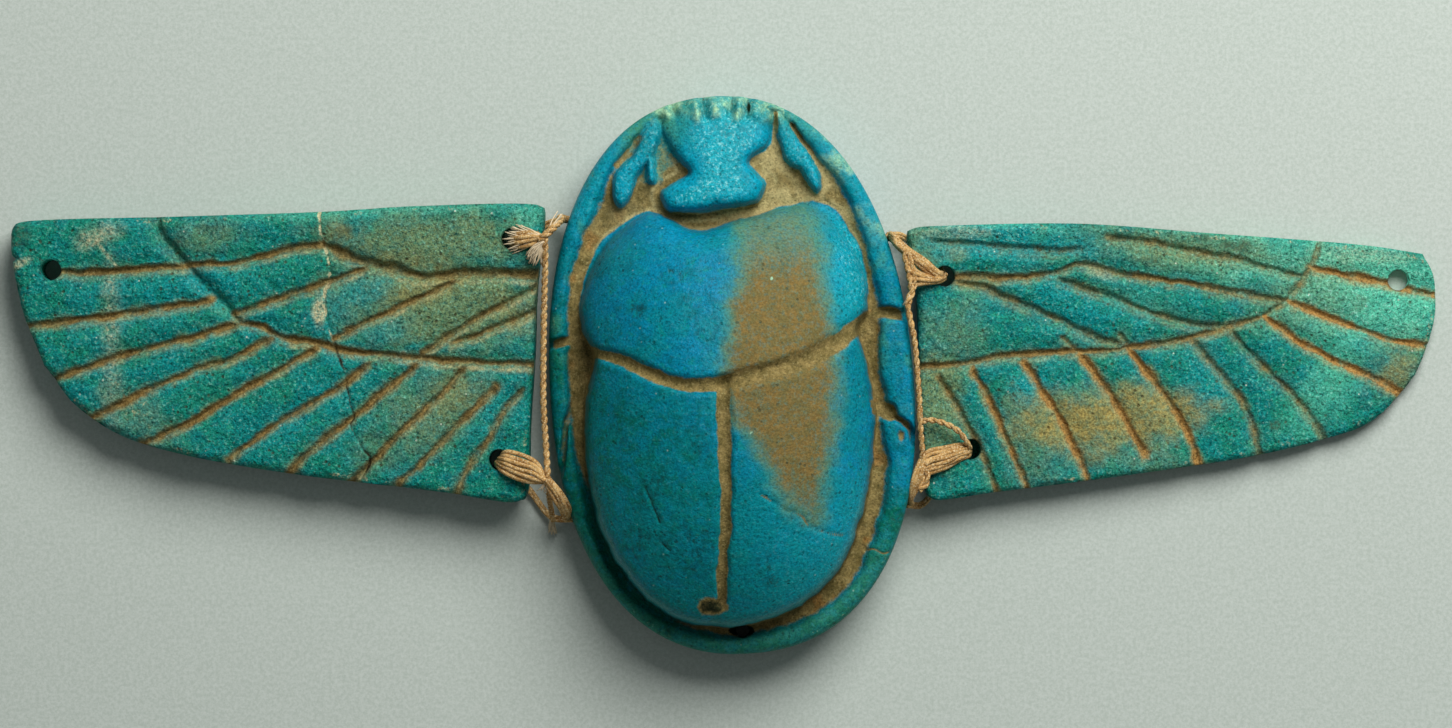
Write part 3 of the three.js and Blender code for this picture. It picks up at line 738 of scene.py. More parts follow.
    def fields(self, z):
        """The share of each layer of the glaze's material. z keeps the wear off the walls."""
        mottle = self.mottle = roughness(self.x, self.y, 1.8, 51)
        self.on_back = rise(-0.42, 0.16, self.back + 0.08 * mottle)
        self.on_head = rise(-0.4, 0.15, self.head + 0.06 * mottle)
        self.on_shin = rise(-0.4, 0.15, self.shins + 0.06 * mottle)
        self.on_rim = rise(0.4, -0.6, self.basin) * (1 - self.on_shin) * (1 - self.on_head)
        self.in_basin = rise(-0.4, 0.75, self.basin + 0.16 * mottle)
        self.cheek = self.region("cheek") * self.on_head
        self.green = self.region("beside_left_shin")
        # painted shade in the lower-left channel, where the back's shadow falls: dark green laid in and the
        # soil left out
        self.painted_shade_lower_left = self.region("lower_left") * (1 - self.on_back)
        self.tail_soil = off(self.x, self.y, *TAIL_SOIL) + 0.4 * mottle
        self.high = rise(2.2, 5.4, z + 0.9 * mottle)
        layers = {"soil": self.soil(), "spots": self.spots()}
        return {**layers, **self.soil_tones(), **self.tints(), **self.wear()}

    def soil(self):
        x, y, mottle = self.x, self.y, self.mottle
        layers = [
            self.in_basin * (1 - most(self.on_back, self.on_head, self.on_shin)),
            self.gap_soil * rise(0.1, 0.9, self.edge) * (self.back < 0.2),
            0.9 * rise(1.3, 0.3, self.tail_soil),
            0.75 * rise(0.9, 0.3, off(x, y, *CHIP_SOIL) + 0.2 * mottle),
        ]
        for reach, _ in self.seams:
            layers.append(rise(1.35, 0.6, reach / (1 + 0.18 * mottle)) * (self.back > -0.5))
        for line, half, _ in BODY_CRACKS:
            cut = nearest(x, y, smooth_line(line), 1.5)[0]
            layers.append(0.8 * rise(half * 1.3, 0, cut) * rise(-0.9, 0.3, mottle))
        # less soil beside the left shin, and the soil left out in the lower-left channel's painted shade
        bare = (1 - 0.55 * self.green * rise(-0.7, 0.3, mottle)) * (1 - 0.75 * self.painted_shade_lower_left)
        return most(*layers) * bare * rise(0.0, 0.5, self.edge)

    def soil_tones(self):
        """Where the soil is rusty, and where it is pale and dusty."""
        ahead = self.region("head_soil")
        rust = 0.5 * rise(0.35 - 0.4 * ahead, 1.1, self.mottle) * self.in_basin * (self.back < -0.3)
        foot = bell(self.back + 0.3, 0.22) + bell(self.head + 1.0, 0.22)
        dusty = ahead * rise(-0.9, 0.5, self.mottle) * np.where(self.x > HEAD_CROWN["x"], 1.0, 0.45)
        return {"rust": rust, "dusty": most(dusty, foot * self.region("front_feet"))}

    def spots(self):
        patches = [amount * rise(1.2, 0.3, off(self.x, self.y, *place)) for *place, amount in BODY_SPOTS]
        return most(*patches) * rise(-0.2, 0.8, roughness(self.x, self.y, 0.5, 80, 2))

    def tints(self):
        """Where the glaze is stained, dark green, bright, azure or olive; the dark green is partly painted
        shade and the bright partly painted light.
        """
        x, y, mottle, at = self.x, self.y, self.mottle, self.region
        on_back, on_head, on_shin, on_rim = self.on_back, self.on_head, self.on_shin, self.on_rim
        stain = depth_inside(x, y, smooth_line(STAIN, True))
        stain = stain + 0.5 * roughness(x, y, 2.6, 61) + 0.3 * roughness(x, y, 0.8, 65, 2)
        faint = (1 - 0.55 * at("stain_front")) * (1 - 0.35 * at("stain_rear"))
        middle = rise(0.3, 2.0, self.head + 0.5 * mottle)
        return {
            "stain": rise(-1.4, 2.0, stain) * faint * on_back,
            # deep green: the glaze's own darker green on the rim and the cheek, and painted shade towards the
            # lower left, on the left rim and in the lower-left channel
            "deep_green_and_shade": most(
                0.6 * rise(0, -20, y + x + 3 * mottle),
                on_rim * (0.1 + 0.7 * at("rim_rear")) * (1 - 0.8 * at("rim_right_legs")),
                0.75 * on_rim * at("rim_left"),
                0.45 * self.cheek,
                self.painted_shade_lower_left,
            ),
            # bright: the glaze's own paler blue; on the lower back it is painted light that lifts the shade
            # there, and on the right shoulder, which faces the light, it is partly painted light
            "bright": most(
                (0.85 * on_head - 0.6 * self.cheek) * (0.35 + 0.65 * middle),
                0.6 * at("right_shoulder") * (self.back > 0),
                0.55 * on_shin,
                on_back * at("lower_back") * (0.15 + 0.25 * at("lower_back_right")),
                0.35 * on_rim * at("rim_right_front"),
                0.4 * on_rim * at("rim_left_front"),
            ),
            "azure": most(0.6 * on_head * (1 - middle) * at("behind_teeth"), 0.5 * on_shin * at("left_shin")),
            "olive": most(
                0.55 * at("front_edge") * rise(3.6, 0.8, self.edge + 0.5 * mottle),
                0.7 * rise(-1.9, 0.4, stain) * on_back,
                0.3 * self.cheek * at("cheek_front"),
                0.5 * rise(0.1, 1.0, mottle) * (1 - on_back) * (1 - on_head) * at("front_half"),
                0.8 * self.green * (1 - on_shin),
                0.35 * on_rim * at("rim_tail"),
            ),
        }

    def wear(self):
        """Where the glaze is worn or crusted, where a painted highlight runs along the back's lower edge, and
        where its cracks and crevices are dark, with painted shadow under the head and at the foot of the back
        on the lower left.
        """
        x, y, mottle, at = self.x, self.y, self.mottle, self.region
        teeth = at("tooth_crust") * self.across_teeth()
        crust_and_lip_highlight = teeth * most(rise(2.0, 0.3, self.edge + 0.6 * mottle), bell(self.ridges, 0.5))
        worn = most(
            0.35 * crust_and_lip_highlight,
            0.25 * rise(0.45, 0.1, np.abs(self.edge - 0.5)) * rise(-0.3, 0.5, mottle),
            *(0.8 * rise(0.28, 0.1, off(x, y, *fleck)) for fleck in BODY_FLECKS),
        )
        lip_crust_and_highlight = most(
            crust_and_lip_highlight * rise(-0.9, 0.9, roughness(x, y, 1.1, 91, 2)),
            0.45 * self.on_rim * at("rim_right_corner") * rise(-0.6, 0.6, mottle),
        )
        scratches = [
            0.6 * rise(half * 1.5, 0, nearest(x, y, np.array(line), 1.5)[0])
            for line, half, _ in BODY_SCRATCHES
        ]
        # dark cracks, scratches, notches, soil and the tail pit, with painted shadow under the head's edge
        # and painted shade at the foot of the back on the lower left
        crevice_dirt_and_shade = most(
            0.5 * bell(self.head + 0.4, 0.35) * at("under_head"),
            0.5 * teeth * bell(self.notches, 0.3),
            0.85 * bell(off(x, y, *TOOTH_CRACK)),
            0.45 * rise(0.75, 0.2, np.abs(self.back + 0.35)) * at("lower_left_foot"),
            0.6 * rise(1.0, 0.2, self.tail_soil),
            rise(1.3, 0.8, off(x, y, *PIT_DARK) + 0.1 * mottle),
            *scratches,
        )
        # painted highlight: a pale line along the back's lower edge, where it catches the light
        faded = 0.12 * at("back_lower_edge") * rise(0.5, 0.0, np.abs(self.back - 0.3))
        high = self.high
        return {"worn": worn * high, "lip_crust_and_highlight": lip_crust_and_highlight * high, "crevice_dirt_and_shade": crevice_dirt_and_shade * high, "faded": faded}


def make_scarab():
    grid = oval_grid(BEETLE_COUNT)
    piece = slab("scarab_glaze", grid, Beetle(*grid.reshape(-1, 2).T).height(), RIM_ROUND, body_glaze)
    holes = []
    for (x, y), (dx, dy) in SIDE_HOLES:
        start, end = ((x + run * dx, y + run * dy, SIDE_HOLE["z"]) for run in (-2, SIDE_HOLE["depth"]))
        holes.append((start, end, SIDE_HOLE["radius"]))
    tail = TAIL_HOLE["x"], TAIL_HOLE["y"]
    holes.append(((*tail, -1), (*tail, FLOOR + 2), TAIL_HOLE["radius"]))
    pierce(piece, holes)
    x, y, z = places(piece)
    paint(piece, Beetle(x, y).fields(z))
    settle(piece, "scarab")


# ---------------------------------------------------------------- the wings

# Each wing's edges run clockwise round it. Each groove has how much soil is in it, how orange that is, its
# width, and then its points. Each wash has its strength, then the middle, half sizes and turn of its patch.
# The crust numbers give the strength of the painted highlight along each groove's lower lip, at the inner end
# and at the tip.
LEFT_WING = {
    "seed": 100,
    "top": [
        (-79.2, 16.75), (-78.4, 17), (-60, 17.6), (-45, 18.1), (-35, 18.7), (-21.8, 18.85), (-21.05, 18.55),
    ],
    "right": [
        (-21.05, 18.55), (-20.95, 17.8), (-21.8, 9), (-22, 3), (-22.5, -5), (-22.8, -12.6), (-23.2, -13.6),
    ],
    "bottom": [
        (-23.2, -13.6), (-24.4, -13.9), (-32, -12.8), (-50, -10.6), (-61, -8.6), (-67.5, -6.6),
        (-72.4, -3.4), (-76, 1.1),
    ],
    "left": [
        (-76, 1.1), (-78.4, 7), (-79.4, 11.8), (-79.5, 12.5), (-79.2, 12.9), (-79.55, 13.3), (-79.6, 16.1),
        (-79.2, 16.75),
    ],
    "holes": [(-75.3, 11.7), (-24.5, 15.1), (-25.9, -9.2)],
    "tip_x": -79.5, "inner_x": -21.5, "thickness": (5.5, 5.5), "groove": 0.4, "softness": 1.6,
    "crust_and_lip_highlight": (0.8, 0.15), "rust": 0.5,
    "grooves": [
        (0.8, 0.3, 1, (-74.6, 11.4), (-70, 11.4), (-65, 11.8), (-60, 12.2), (-55, 12.5), (-50, 13.7),
         (-45.3, 14.5)),
        (0.7, 0.1, 1.4, (-45.3, 14.5), (-41.2, 12.7), (-38, 12), (-35, 11.1), (-30, 11.2), (-25, 11.3),
         (-21.2, 11.1)),
        (0.8, 0.4, 1, (-78.6, 5.4), (-75, 5.8), (-70, 6.4), (-65, 7.2), (-60, 7.9), (-57.6, 8.4)),
        (0.1, 0, 1.7, (-64.2, 18.2), (-62.8, 15), (-61.2, 13.1), (-59.1, 10.8), (-57.4, 9), (-55.7, 7.2),
         (-54.4, 6)),
        (0.9, 0.4, 1, (-54.4, 5.9), (-52.1, 5.5), (-49.9, 4.3), (-46.5, 3.8), (-43, 2.9), (-36.5, 2.2),
         (-30, 1.6), (-21.6, 1.2)),
        (0.8, 0.3, 1, (-55, 6.9), (-50, 8.6), (-45, 10.2), (-40.5, 11.8)),
        (0.8, 0.3, 1, (-44, 4.2), (-40, 6.3), (-35, 8.4), (-31, 10.4)),
        (0.7, 0.2, 1, (-34.3, 2.6), (-29.5, 5.6), (-24, 8.6), (-21.4, 10.1)),
        (0.6, 0.3, 1, (-31, 3.6), (-27.7, 4.7), (-21.4, 7.3)),
        (0.8, 0.4, 1, (-76, -0.6), (-70, 1.3), (-65, 3), (-60, 4.1), (-54.5, 5.8)),
        (0.8, 0.5, 1, (-71, -4.6), (-65, -1.8), (-60, 0.4), (-55, 2.1), (-51, 4.2)),
        (0.9, 0.5, 1, (-66, -7.8), (-60, -5.1), (-55, -2.1), (-50, 0.7), (-46, 3.1)),
        (0.8, 0.5, 1, (-55.6, -9.2), (-50, -5), (-46.2, -2.8), (-43.3, -1.1), (-40.4, 1.2)),
        (0.7, 0.4, 1, (-49.2, -10.7), (-45.8, -7.6), (-42.5, -5), (-38.6, -1.8), (-36.3, 0.1), (-35.1, 1.2)),
        (0.7, 0.3, 1, (-42.2, -11.8), (-39.5, -9.2), (-37.2, -6.6), (-34.2, -3.9), (-31.9, -1.8),
         (-29.8, 0.8)),
        (0.7, 0.4, 1, (-37, -11.8), (-34.2, -9.4), (-32.6, -7.6), (-30.3, -5.2), (-28.9, -3.9),
         (-26.1, -1.1)),
        (0.6, 0.2, 1, (-30.6, -13.2), (-29.1, -9.6), (-27.7, -7.8), (-26.1, -5.2), (-24.7, -2.9),
         (-23.3, -1.5)),
    ],
    "washes": {
        "olive": [
            (0.95, -32, 8, 12, 6), (0.9, -33, 14.5, 11, 3.5), (0.7, -33, -3.5, 7, 4.5, 30),
            (0.4, -39, -8, 4, 3), (0.5, -58, 15.5, 4, 2), (0.4, -64, -5.5, 5, 2, -25),
            (0.45, -66, -3.4, 4, 2, -30),
        ],
        "stain": [
            (0.5, -33.5, 9.6, 5, 1.4, 20), (0.35, -24, 7, 3, 3), (0.4, -44, 15.8, 2, 1.4),
            (0.35, -35, 12.5, 5, 1.2, -5), (0.3, -31, -2, 3, 2, 40),
        ],
        "faded": [
            (0.4, -70, 15.4, 2.6, 1.3, 20), (0.2, -68.6, 4.5, 1.3, 9), (0.9, -45.7, 7.2, 0.8, 1.6),
            (0.6, -78.6, 12.4, 1.2, 0.5, 30), (0.68, -36.4, 2.3, 0.35, 0.5),
        ],
        "worn": [(0.38, -70, 15.4, 2.8, 1.4, 20), (0.36, -68.6, 4.5, 1.1, 9), (0.28, -66, -3, 3, 2.5, -30)],
        "bright": [
            (0.6, -22.8, 17.4, 1.6, 1.3), (0.35, -56.5, 7.5, 1.4, 0.8, -30), (0.35, -40, 18, 16, 0.9, 2),
        ],
        "azure": [
            (0.5, -41, 8.8, 3.4, 1.8, 25), (0.35, -38, 5, 3, 1.4, 25), (0.55, -26.5, -4.4, 1.8, 4, -35),
            (0.5, -45.5, 6, 1.2, 3.4), (0.45, -44, -0.5, 3, 2.6, 30), (0.4, -50, -6, 4, 2.4, 30),
            (0.6, -60, 9.6, 9, 3, 8), (0.4, -63, 0, 5, 2.2, 25),
        ],
        "spots": [
            (0.5, -78.4, 15.2, 1, 1.6), (0.6, -61.4, 14.6, 0.5, 0.6), (0.45, -43, 16, 1.5, 0.6),
            (0.7, -41, -10.8, 0.9, 0.9), (0.4, -60, 11.4, 1.4, 0.5),
        ],
    },
    "mend": [
        (-45.7, 18.6), (-45.3, 15), (-44.7, 13), (-44.3, 10.8), (-45, 9), (-45, 7), (-44.5, 5),
        (-43.9, 3.5), (-43, 0.5), (-42.2, -3), (-41.8, -4.6), (-42.2, -5.2), (-41.8, -6.5), (-40.8, -8),
        (-40, -9.3), (-41.3, -12),
    ],
}
RIGHT_WING = {
    "seed": 300,
    "top": [(18.95, 16), (19.8, 16.35), (24, 16.6), (38, 16.8), (52, 15.8), (70, 14.4), (76, 13.5)],
    "right": [(76, 13.5), (77.2, 11), (77.4, 7.1), (76.6, 3.6), (75.2, 0.2)],
    "bottom": [
        (75.2, 0.2), (73.5, -2), (70, -5.2), (65, -7), (57.5, -8.8), (50, -10), (40, -11.4), (28, -12.9),
        (21.9, -13.65), (21.15, -13.25),
    ],
    "left": [
        (21.15, -13.25), (20.8, -12.4), (20.4, -4.6), (20.2, 1), (19.8, 9.6), (18.85, 15.2), (18.95, 16),
    ],
    "holes": [(73.3, 10.6), (23, 11), (25.9, -8.1)],
    "tip_x": 77.3, "inner_x": 20.2, "thickness": (3.7, 1.6), "groove": 0.4, "softness": 1.1,
    "crust_and_lip_highlight": (0.3, 0.3), "rust": 0.9,
    "grooves": [
        (0.4, 0, 1, (21.5, 14.9), (25, 14.6), (30, 14.2), (35, 13.8), (38, 13.9)),
        (0.5, 0.1, 1, (41, 15.2), (45, 14.9), (50, 13.8), (55, 12.9), (60, 11.6), (62.5, 11)),
        (0.7, 0.2, 1, (24, 11), (30, 10.9), (35, 11.4), (38, 12.4), (42, 11.4), (50, 10.2), (55, 9.2),
         (61.5, 8.2)),
        (0.45, 0.1, 1.1, (35.5, 10.6), (40, 9.2), (45, 7.4), (50, 5.9), (54, 5.5)),
        (0.5, 0.1, 1.1, (24, 10.4), (27, 9.9), (30, 8.5), (35, 6.4), (38, 5), (40.5, 3.9), (42.5, 3.6)),
        (0.5, 0.2, 0.8, (35.9, 4.4), (37.4, 2.9)),
        (0.5, 0.2, 0.8, (42.4, 4.6), (43.1, 3.3)),
        (0.8, 0.3, 1, (19.9, 1), (25, 1.4), (30, 2.3), (38, 2.7), (45, 3.3), (50, 4.2), (55, 5.6), (58, 6.5)),
        (0.5, 0.3, 1, (58, 6.5), (60.6, 8.1), (61.8, 9.3), (62.8, 10.7), (64, 13), (64.6, 15.4)),
        (0.9, 0.7, 1, (63.4, 12.1), (67, 11.2), (72, 10.2), (77.6, 8.9)),
        (0.95, 0.8, 1, (61, 8.3), (65, 6.7), (70, 4.8), (73, 3.9), (77, 3.4)),
        (1, 0.9, 1, (58.5, 6.6), (62, 4), (66, 1.8), (70, -0.1), (74, -2.1)),
        (0.55, 0.1, 1, (54.6, 5), (56, 3.3), (60, -0.6), (63, -3.6), (65.2, -7.4)),
        (0.55, 0.2, 1, (50.5, 3.9), (53, 0.9), (56, -3), (58.1, -9.2)),
        (0.95, 0.7, 1, (43.3, 2.8), (46, -0.4), (49, -4.5), (51.2, -9.8)),
        (0.95, 0.7, 1, (38, 2.4), (41, -1.7), (45.2, -8.6)),
        (0.95, 0.8, 1, (31.8, 1.6), (34, -2), (37, -7.2), (38.7, -11.4)),
        (0.8, 0.6, 1, (26, 0.8), (28.5, -4), (32.2, -12.5)),
        (0.6, 0.3, 1, (22.3, 0), (25, -4.6), (27.3, -9), (28.9, -13)),
    ],
    "washes": {
        "olive": [
            (0.9, 22, -3, 3, 8), (0.5, 24, 5, 4, 4), (0.75, 20.2, 13.5, 1.9, 4),
            (0.75, 50, 13.8, 12, 2.4, -6), (0.45, 63, 9, 7, 4), (0.5, 33, -7, 5, 4, -60),
            (0.5, 73, 1, 4, 3.5, 40), (0.4, 45, -9.5, 8, 1.6, -10),
        ],
        "stain": [
            (1, 40, -4.7, 9, 3.8, 3), (0.85, 47.5, -4, 5.5, 2.6), (0.45, 32.5, -5.5, 4, 2.2),
            (0.5, 73.4, 0.6, 3, 2.2, 40), (0.3, 24.3, 13.4, 1.2, 0.8), (0.35, 27, 10.4, 3, 0.9),
        ],
        "faded": [(0.3, 40, 11.5, 2, 1, -20), (0.26, 24, 15.8, 4, 0.7), (0.22, 70, 13.4, 6, 0.9, -5)],
        "azure": [
            (0.85, 30, 14.6, 10, 2, -2), (0.6, 37, 8, 7, 2.4, -25), (0.6, 32.5, -1, 3, 2.4, -50),
            (0.5, 52, -1.6, 3.4, 3.6, -50),
        ],
        "bright": [
            (0.85, 70, 9.5, 12, 6.5, -12), (0.7, 58, 13, 13, 3.4, -8), (0.5, 66, 0, 7, 3, 50),
            (0.3, 45, 8, 6, 1.5, -20), (0.75, 30, 15.7, 8, 1.2, -1),
        ],
        "spots": [
            (0.55, 51.6, 15.2, 1.3, 0.6, -10), (0.6, 54.4, 14.4, 1.2, 0.6, -20), (0.6, 56, 14.2, 0.8, 0.9),
            (0.6, 59.5, -5.4, 0.7, 0.5), (0.35, 46, 12.8, 1, 0.5),
        ],
    },
}
GROOVE = {"depth": 0.52, "shoulder": 1.35, "dish": 0.45}
LIP_HIGHLIGHT = {"x": 0.16, "y": 0.66, "half": 0.26}  # the painted highlight along each groove's lower lip, the side that faces the light
SCRATCH = np.array([(-70, 14.5), (-68, 12)])
ON_TOP_ONLY = ("soil", "lip_crust_and_highlight", "worn", "stain", "faded", "spots", "crevice_dirt_and_shade")  # layers kept off a wing's walls


def spread(points, count):
    """This many points evenly spaced along the smooth curve through these points."""
    line = smooth_line(points, step=0.25)
    run = run_of(line)
    at = np.linspace(0, run[-1], count)
    return np.stack([np.interp(at, run, line[:, k]) for k in (0, 1)], -1)


def wing_grid(plan):
    """A grid that fills the space between a wing's four edges."""
    low, high = (spread(edge, WING_COUNT["columns"]) for edge in (plan["bottom"][::-1], plan["top"]))
    left, right = (spread(edge, WING_COUNT["rows"]) for edge in (plan["left"], plan["right"][::-1]))
    u = np.linspace(0, 1, len(low))[None, :, None]
    v = np.linspace(0, 1, len(left))[:, None, None]
    ruled = (1 - v) * low[None] + v * high[None] + (1 - u) * left[:, None] + u * right[:, None]
    corners = (1 - u) * (1 - v) * low[0] + u * (1 - v) * low[-1] + (1 - u) * v * high[0] + u * v * high[-1]
    return ruled - corners


class Wing:
    """Every field of a wing's upper side, worked out once for a set of points."""

    def __init__(self, plan, x, y):
        self.plan, self.x, self.y = plan, x, y
        outline = np.vstack([smooth_line(plan[k], step=0.4)[:-1] for k in ("top", "right", "bottom", "left")])
        self.edge = depth_inside(x, y, outline, 3.0)
        self.share = (x - plan["inner_x"]) / (plan["tip_x"] - plan["inner_x"])
        self.flat = self.sloped("thickness")
        wx, wy = x + 0.13 * self.rough(1.6, 0), y + 0.13 * self.rough(1.6, 7)
        self.cut = self.trough = self.soil = self.rust = self.lip_crust_and_highlight = np.zeros(x.shape)
        self.near = np.full(x.shape, 3.0)
        for k, (soil, rust, width, *line) in enumerate(plan["grooves"]):
            self.carve(k, wx, wy, smooth_line(line), soil, rust, width)
        self.mend, self.mend_share = np.full(x.shape, 2.0), np.zeros(x.shape)
        if "mend" in plan:
            self.mend, self.mend_share = nearest(wx, wy, smooth_line(plan["mend"]), 2.0)

    def rough(self, size, step, octaves=3):
        """Noise of the wing's own. Each step gives another pattern."""
        return roughness(self.x, self.y, size, self.plan["seed"] + step, octaves)

    def sloped(self, name):
        """A measure that goes evenly from its value at the inner end to its value at the tip."""
        inner, tip = self.plan[name]
        return inner + self.share * (tip - inner)

    def carve(self, k, wx, wy, line, soil, rust, width):
        """Adds one groove: its cut, the dish round it, the soil in it, and the painted highlight on its lower
        lip.
        """
        distance, share = nearest(wx, wy, line, 3.0)
        uneven, patchy = (
            1 + amount * ripple(share * often, share * 0 + k, 1.0, self.plan["seed"] + k + step)
            for amount, often, step in ((0.25, 9, 0), (0.35, 14, 60))
        )
        reach = distance / (self.plan["groove"] * width * uneven)
        depth = (rise(0.0, 0.04, share) * rise(1.0, 0.96, share) * 0.4 + 0.6) * min(width, 1.2)
        filled = rise(1.9, 0.0, reach) * soil * 1.15 * patchy
        lip_crust_and_highlight = nearest(wx + LIP_HIGHLIGHT["x"], wy + LIP_HIGHLIGHT["y"] * width, line, 1.0)[0]
        self.cut = most(self.cut, depth * rise(1.3, 0.0, reach))
        self.trough = most(self.trough, depth * bell(distance, GROOVE["shoulder"]))
        self.lip_crust_and_highlight = most(self.lip_crust_and_highlight, soil * bell(lip_crust_and_highlight, LIP_HIGHLIGHT["half"]))
        self.rust = np.where(filled > self.soil, rust, self.rust)
        self.soil = most(self.soil, filled)
        self.near = np.minimum(self.near, distance)

    def height(self):
        z = 0.09 * self.rough(5.0, 20) + 0.07 * self.rough(1.0, 30)
        z = z - GROOVE["depth"] * self.cut - GROOVE["dish"] * self.trough - 0.2 * rise(0.3, 0.0, self.mend)
        chipped = 0.16 * self.rough(1.2, 40) * (self.edge < 0.7)
        edge = np.clip(self.edge + chipped, 0, None)
        z = z - quarter_round(edge, WING_ROUND * self.plan["softness"]) * 0.85
        carved = 0.45 + 0.55 * self.flat / self.plan["thickness"][0]  # shallower where the wing is thinner
        return np.maximum(self.flat + carved * z, 0.35)

    def washes(self, mottle):
        """The broad patches of each tone, with uneven edges."""
        uneven = 0.22 * mottle + 0.16 * self.rough(6.0, 60)

        def wash(amount, *place):
            return amount * rise(1.4, 0.3, off(self.x, self.y, *place) + uneven)

        kinds = self.plan["washes"].items()
        return {kind: most(*(wash(*patch) for patch in patches)) for kind, patches in kinds}

    def fields(self, z):
        """The share of each layer of the glaze's material. z keeps the soil and wear off the walls."""
        mottle = self.rough(1.6, 50)
        near = bell(self.near, 0.9) * rise(-0.5, 0.6, mottle)
        holes = np.minimum.reduce([off(self.x, self.y, *hole) for hole in self.plan["holes"]])
        more = {
            "soil": self.soil,
            # a pale line along each groove's lower lip, the wall that faces the light: a painted highlight
            "lip_crust_and_highlight": np.clip(self.sloped("crust_and_lip_highlight") * self.lip_crust_and_highlight * (0.8 + 0.5 * mottle), 0, 1),
            "worn": 0.38 * rise(0.5, 0.1, np.abs(self.edge - 0.45)) * rise(0.0, 0.7, mottle),
            "stain": 0.45 * near * rise(0.15, 0.6, self.rust),
            "olive": 0.35 * near,
            # painted shade: darker green round the wing's rounded edges
            "deep_green_and_shade": 0.15 * rise(0.9, 0.2, self.edge),
            # darker round the holes, and painted shade in the bottoms of the grooves
            "crevice_dirt_and_shade": most(0.5 * rise(1.6, 1.15, holes), 0.24 * self.cut * rise(0.3, -0.6, mottle)),
        }
        layers = self.washes(mottle)
        for found in (more, self.mended(mottle) if "mend" in self.plan else {}):
            layers.update({kind: most(share, layers.get(kind, share)) for kind, share in found.items()})
        high = rise(0.3, 0.72, z / self.flat + 0.1 * mottle)
        layers.update({kind: layers[kind] * high for kind in ON_TOP_ONLY})
        return {**layers, "rust": self.plan["rust"] * self.rust}

    def mended(self, mottle):
        """The mend, a dotted pale crack that is dark along its further part, and a scratch."""
        pale = rise(0.52, 0.40, self.mend_share)
        dotted = rise(-0.8, 0.2, self.rough(0.7, 70, 2))
        return {
            "crevice_dirt_and_shade": 0.62 * rise(0.36, 0.0, self.mend + 0.08 * mottle) * (1 - pale),
            "worn": rise(0.34, 0.02, self.mend + 0.1 * mottle) * (0.45 + 0.4 * pale) * dotted,
            "faded": 0.6 * rise(0.35, 0.0, nearest(self.x, self.y, SCRATCH, 2.0)[0]),
        }


def make_wing(name, node, plan):
    grid = wing_grid(plan)
    piece = slab(name, grid, Wing(plan, *grid.reshape(-1, 2).T).height(), WING_ROUND, wing_glaze)
    above = plan["thickness"][0] + 1
    pierce(piece, [((*hole, -1), (*hole, above), WING_HOLE_RADIUS) for hole in plan["holes"]])
    x, y, z = places(piece)
    paint(piece, Wing(plan, x, y).fields(z))
    lay_down(piece, plan)
    settle(piece, node)


def lay_down(piece, plan):
    """Tips a wing so that its inner end is raised on the thread under it."""
    slope = math.asin(WING_LIFT / (plan["tip_x"] - plan["inner_x"]))
    x, y, z = places(piece)
    x = x - plan["tip_x"]
    turned_x = plan["tip_x"] + x * math.cos(slope) + z * math.sin(slope)
    turned_z = z * math.cos(slope) - x * math.sin(slope)
    flat = (np.stack([turned_x, y, turned_z], -1) * MM).astype(np.float32).ravel()
    piece.data.vertices.foreach_set("co", flat)
    piece.data.update()


# ---------------------------------------------------------------- the threads

STRAND = 0.27
FIBRE = 0.12
THREAD_FLOOR = 0.04
THREAD_SIDES = 7


def unit(vectors):
    return vectors / np.linalg.norm(vectors, axis=1)[:, None]


def sweep(points, radius, sides=THREAD_SIDES, step=0.35, pale=0.0):
    """A closed tube along the smooth curve through these points. radius is (start, end)."""
    line = smooth_line(points, step=step)
    along = unit(np.gradient(line, axis=0))
    side = unit(np.cross(along, np.where(np.abs(along[:, 2:]) > 0.9, [[1.0, 0, 0]], [[0, 0, 1.0]])))
    for k in range(1, len(side)):
        side[k] = side[k - 1] - along[k] * np.dot(side[k - 1], along[k])
        side[k] /= np.linalg.norm(side[k])
    up = np.cross(along, side)
    turn = np.linspace(0, 2 * math.pi, sides, endpoint=False)
    size = np.linspace(*radius, len(line))[:, None, None]
    ring = np.cos(turn)[None, :, None] * side[:, None] + np.sin(turn)[None, :, None] * up[:, None]
    vertices = (line[:, None] + size * ring).reshape(-1, 3)
    index = np.arange(len(line) * sides).reshape(-1, sides)
    ahead = np.roll(index, -1, 1)
    faces = np.stack([index[:-1], index[1:], ahead[1:], ahead[:-1]], -1).reshape(-1, 4).tolist()
    return vertices, faces + [index[0].tolist(), index[-1, ::-1].tolist()], pale


def twisted(points, radius, plies, lay, phase=0.0):
    """Tubes that wind round each other along one curve, one turn every lay."""
    line = smooth_line(points, step=0.2)
    along = unit(np.gradient(line, axis=0))
    side = unit(np.cross(along, [0.13, 0.07, 0.99]))
    up = np.cross(along, side)
    tubes = []
    for k in range(plies):
        turn = (2 * math.pi * (run_of(line) / lay + k / plies) + phase)[:, None]
        path = line + 0.5 * radius * (np.cos(turn) * side + np.sin(turn) * up)
        tubes.append(sweep(path, (0.6 * radius, 0.6 * radius), step=9.0))
    return tubes


def between(low, high, count, radius, wander, seed=1):
    """This many loose strands side by side between two curves."""
    low, high = np.array(low, float), np.array(high, float)
    tubes = []
    for k in range(count):
        share = k / max(count - 1, 1)
        place = np.arange(len(low)) * 1.7 + 5.1 * k
        shift = np.stack([ripple(place, place * 0 + j, 1.0, seed) for j in range(3)], -1) * wander
        shift[:, 2] += math.sin(math.pi * share) * 0.35
        size = radius * (1 + 0.15 * float(ripple(np.array([k * 1.3]), np.array([0.5]), 1.0, seed)[0]))
        tubes.append(sweep(low * (1 - share) + high * share + shift, (size, size)))
    return tubes


def hidden(low, high):
    """The two thin strands that pass under a wing."""
    return between(low, high, 2, FIBRE * 2, 0.04)


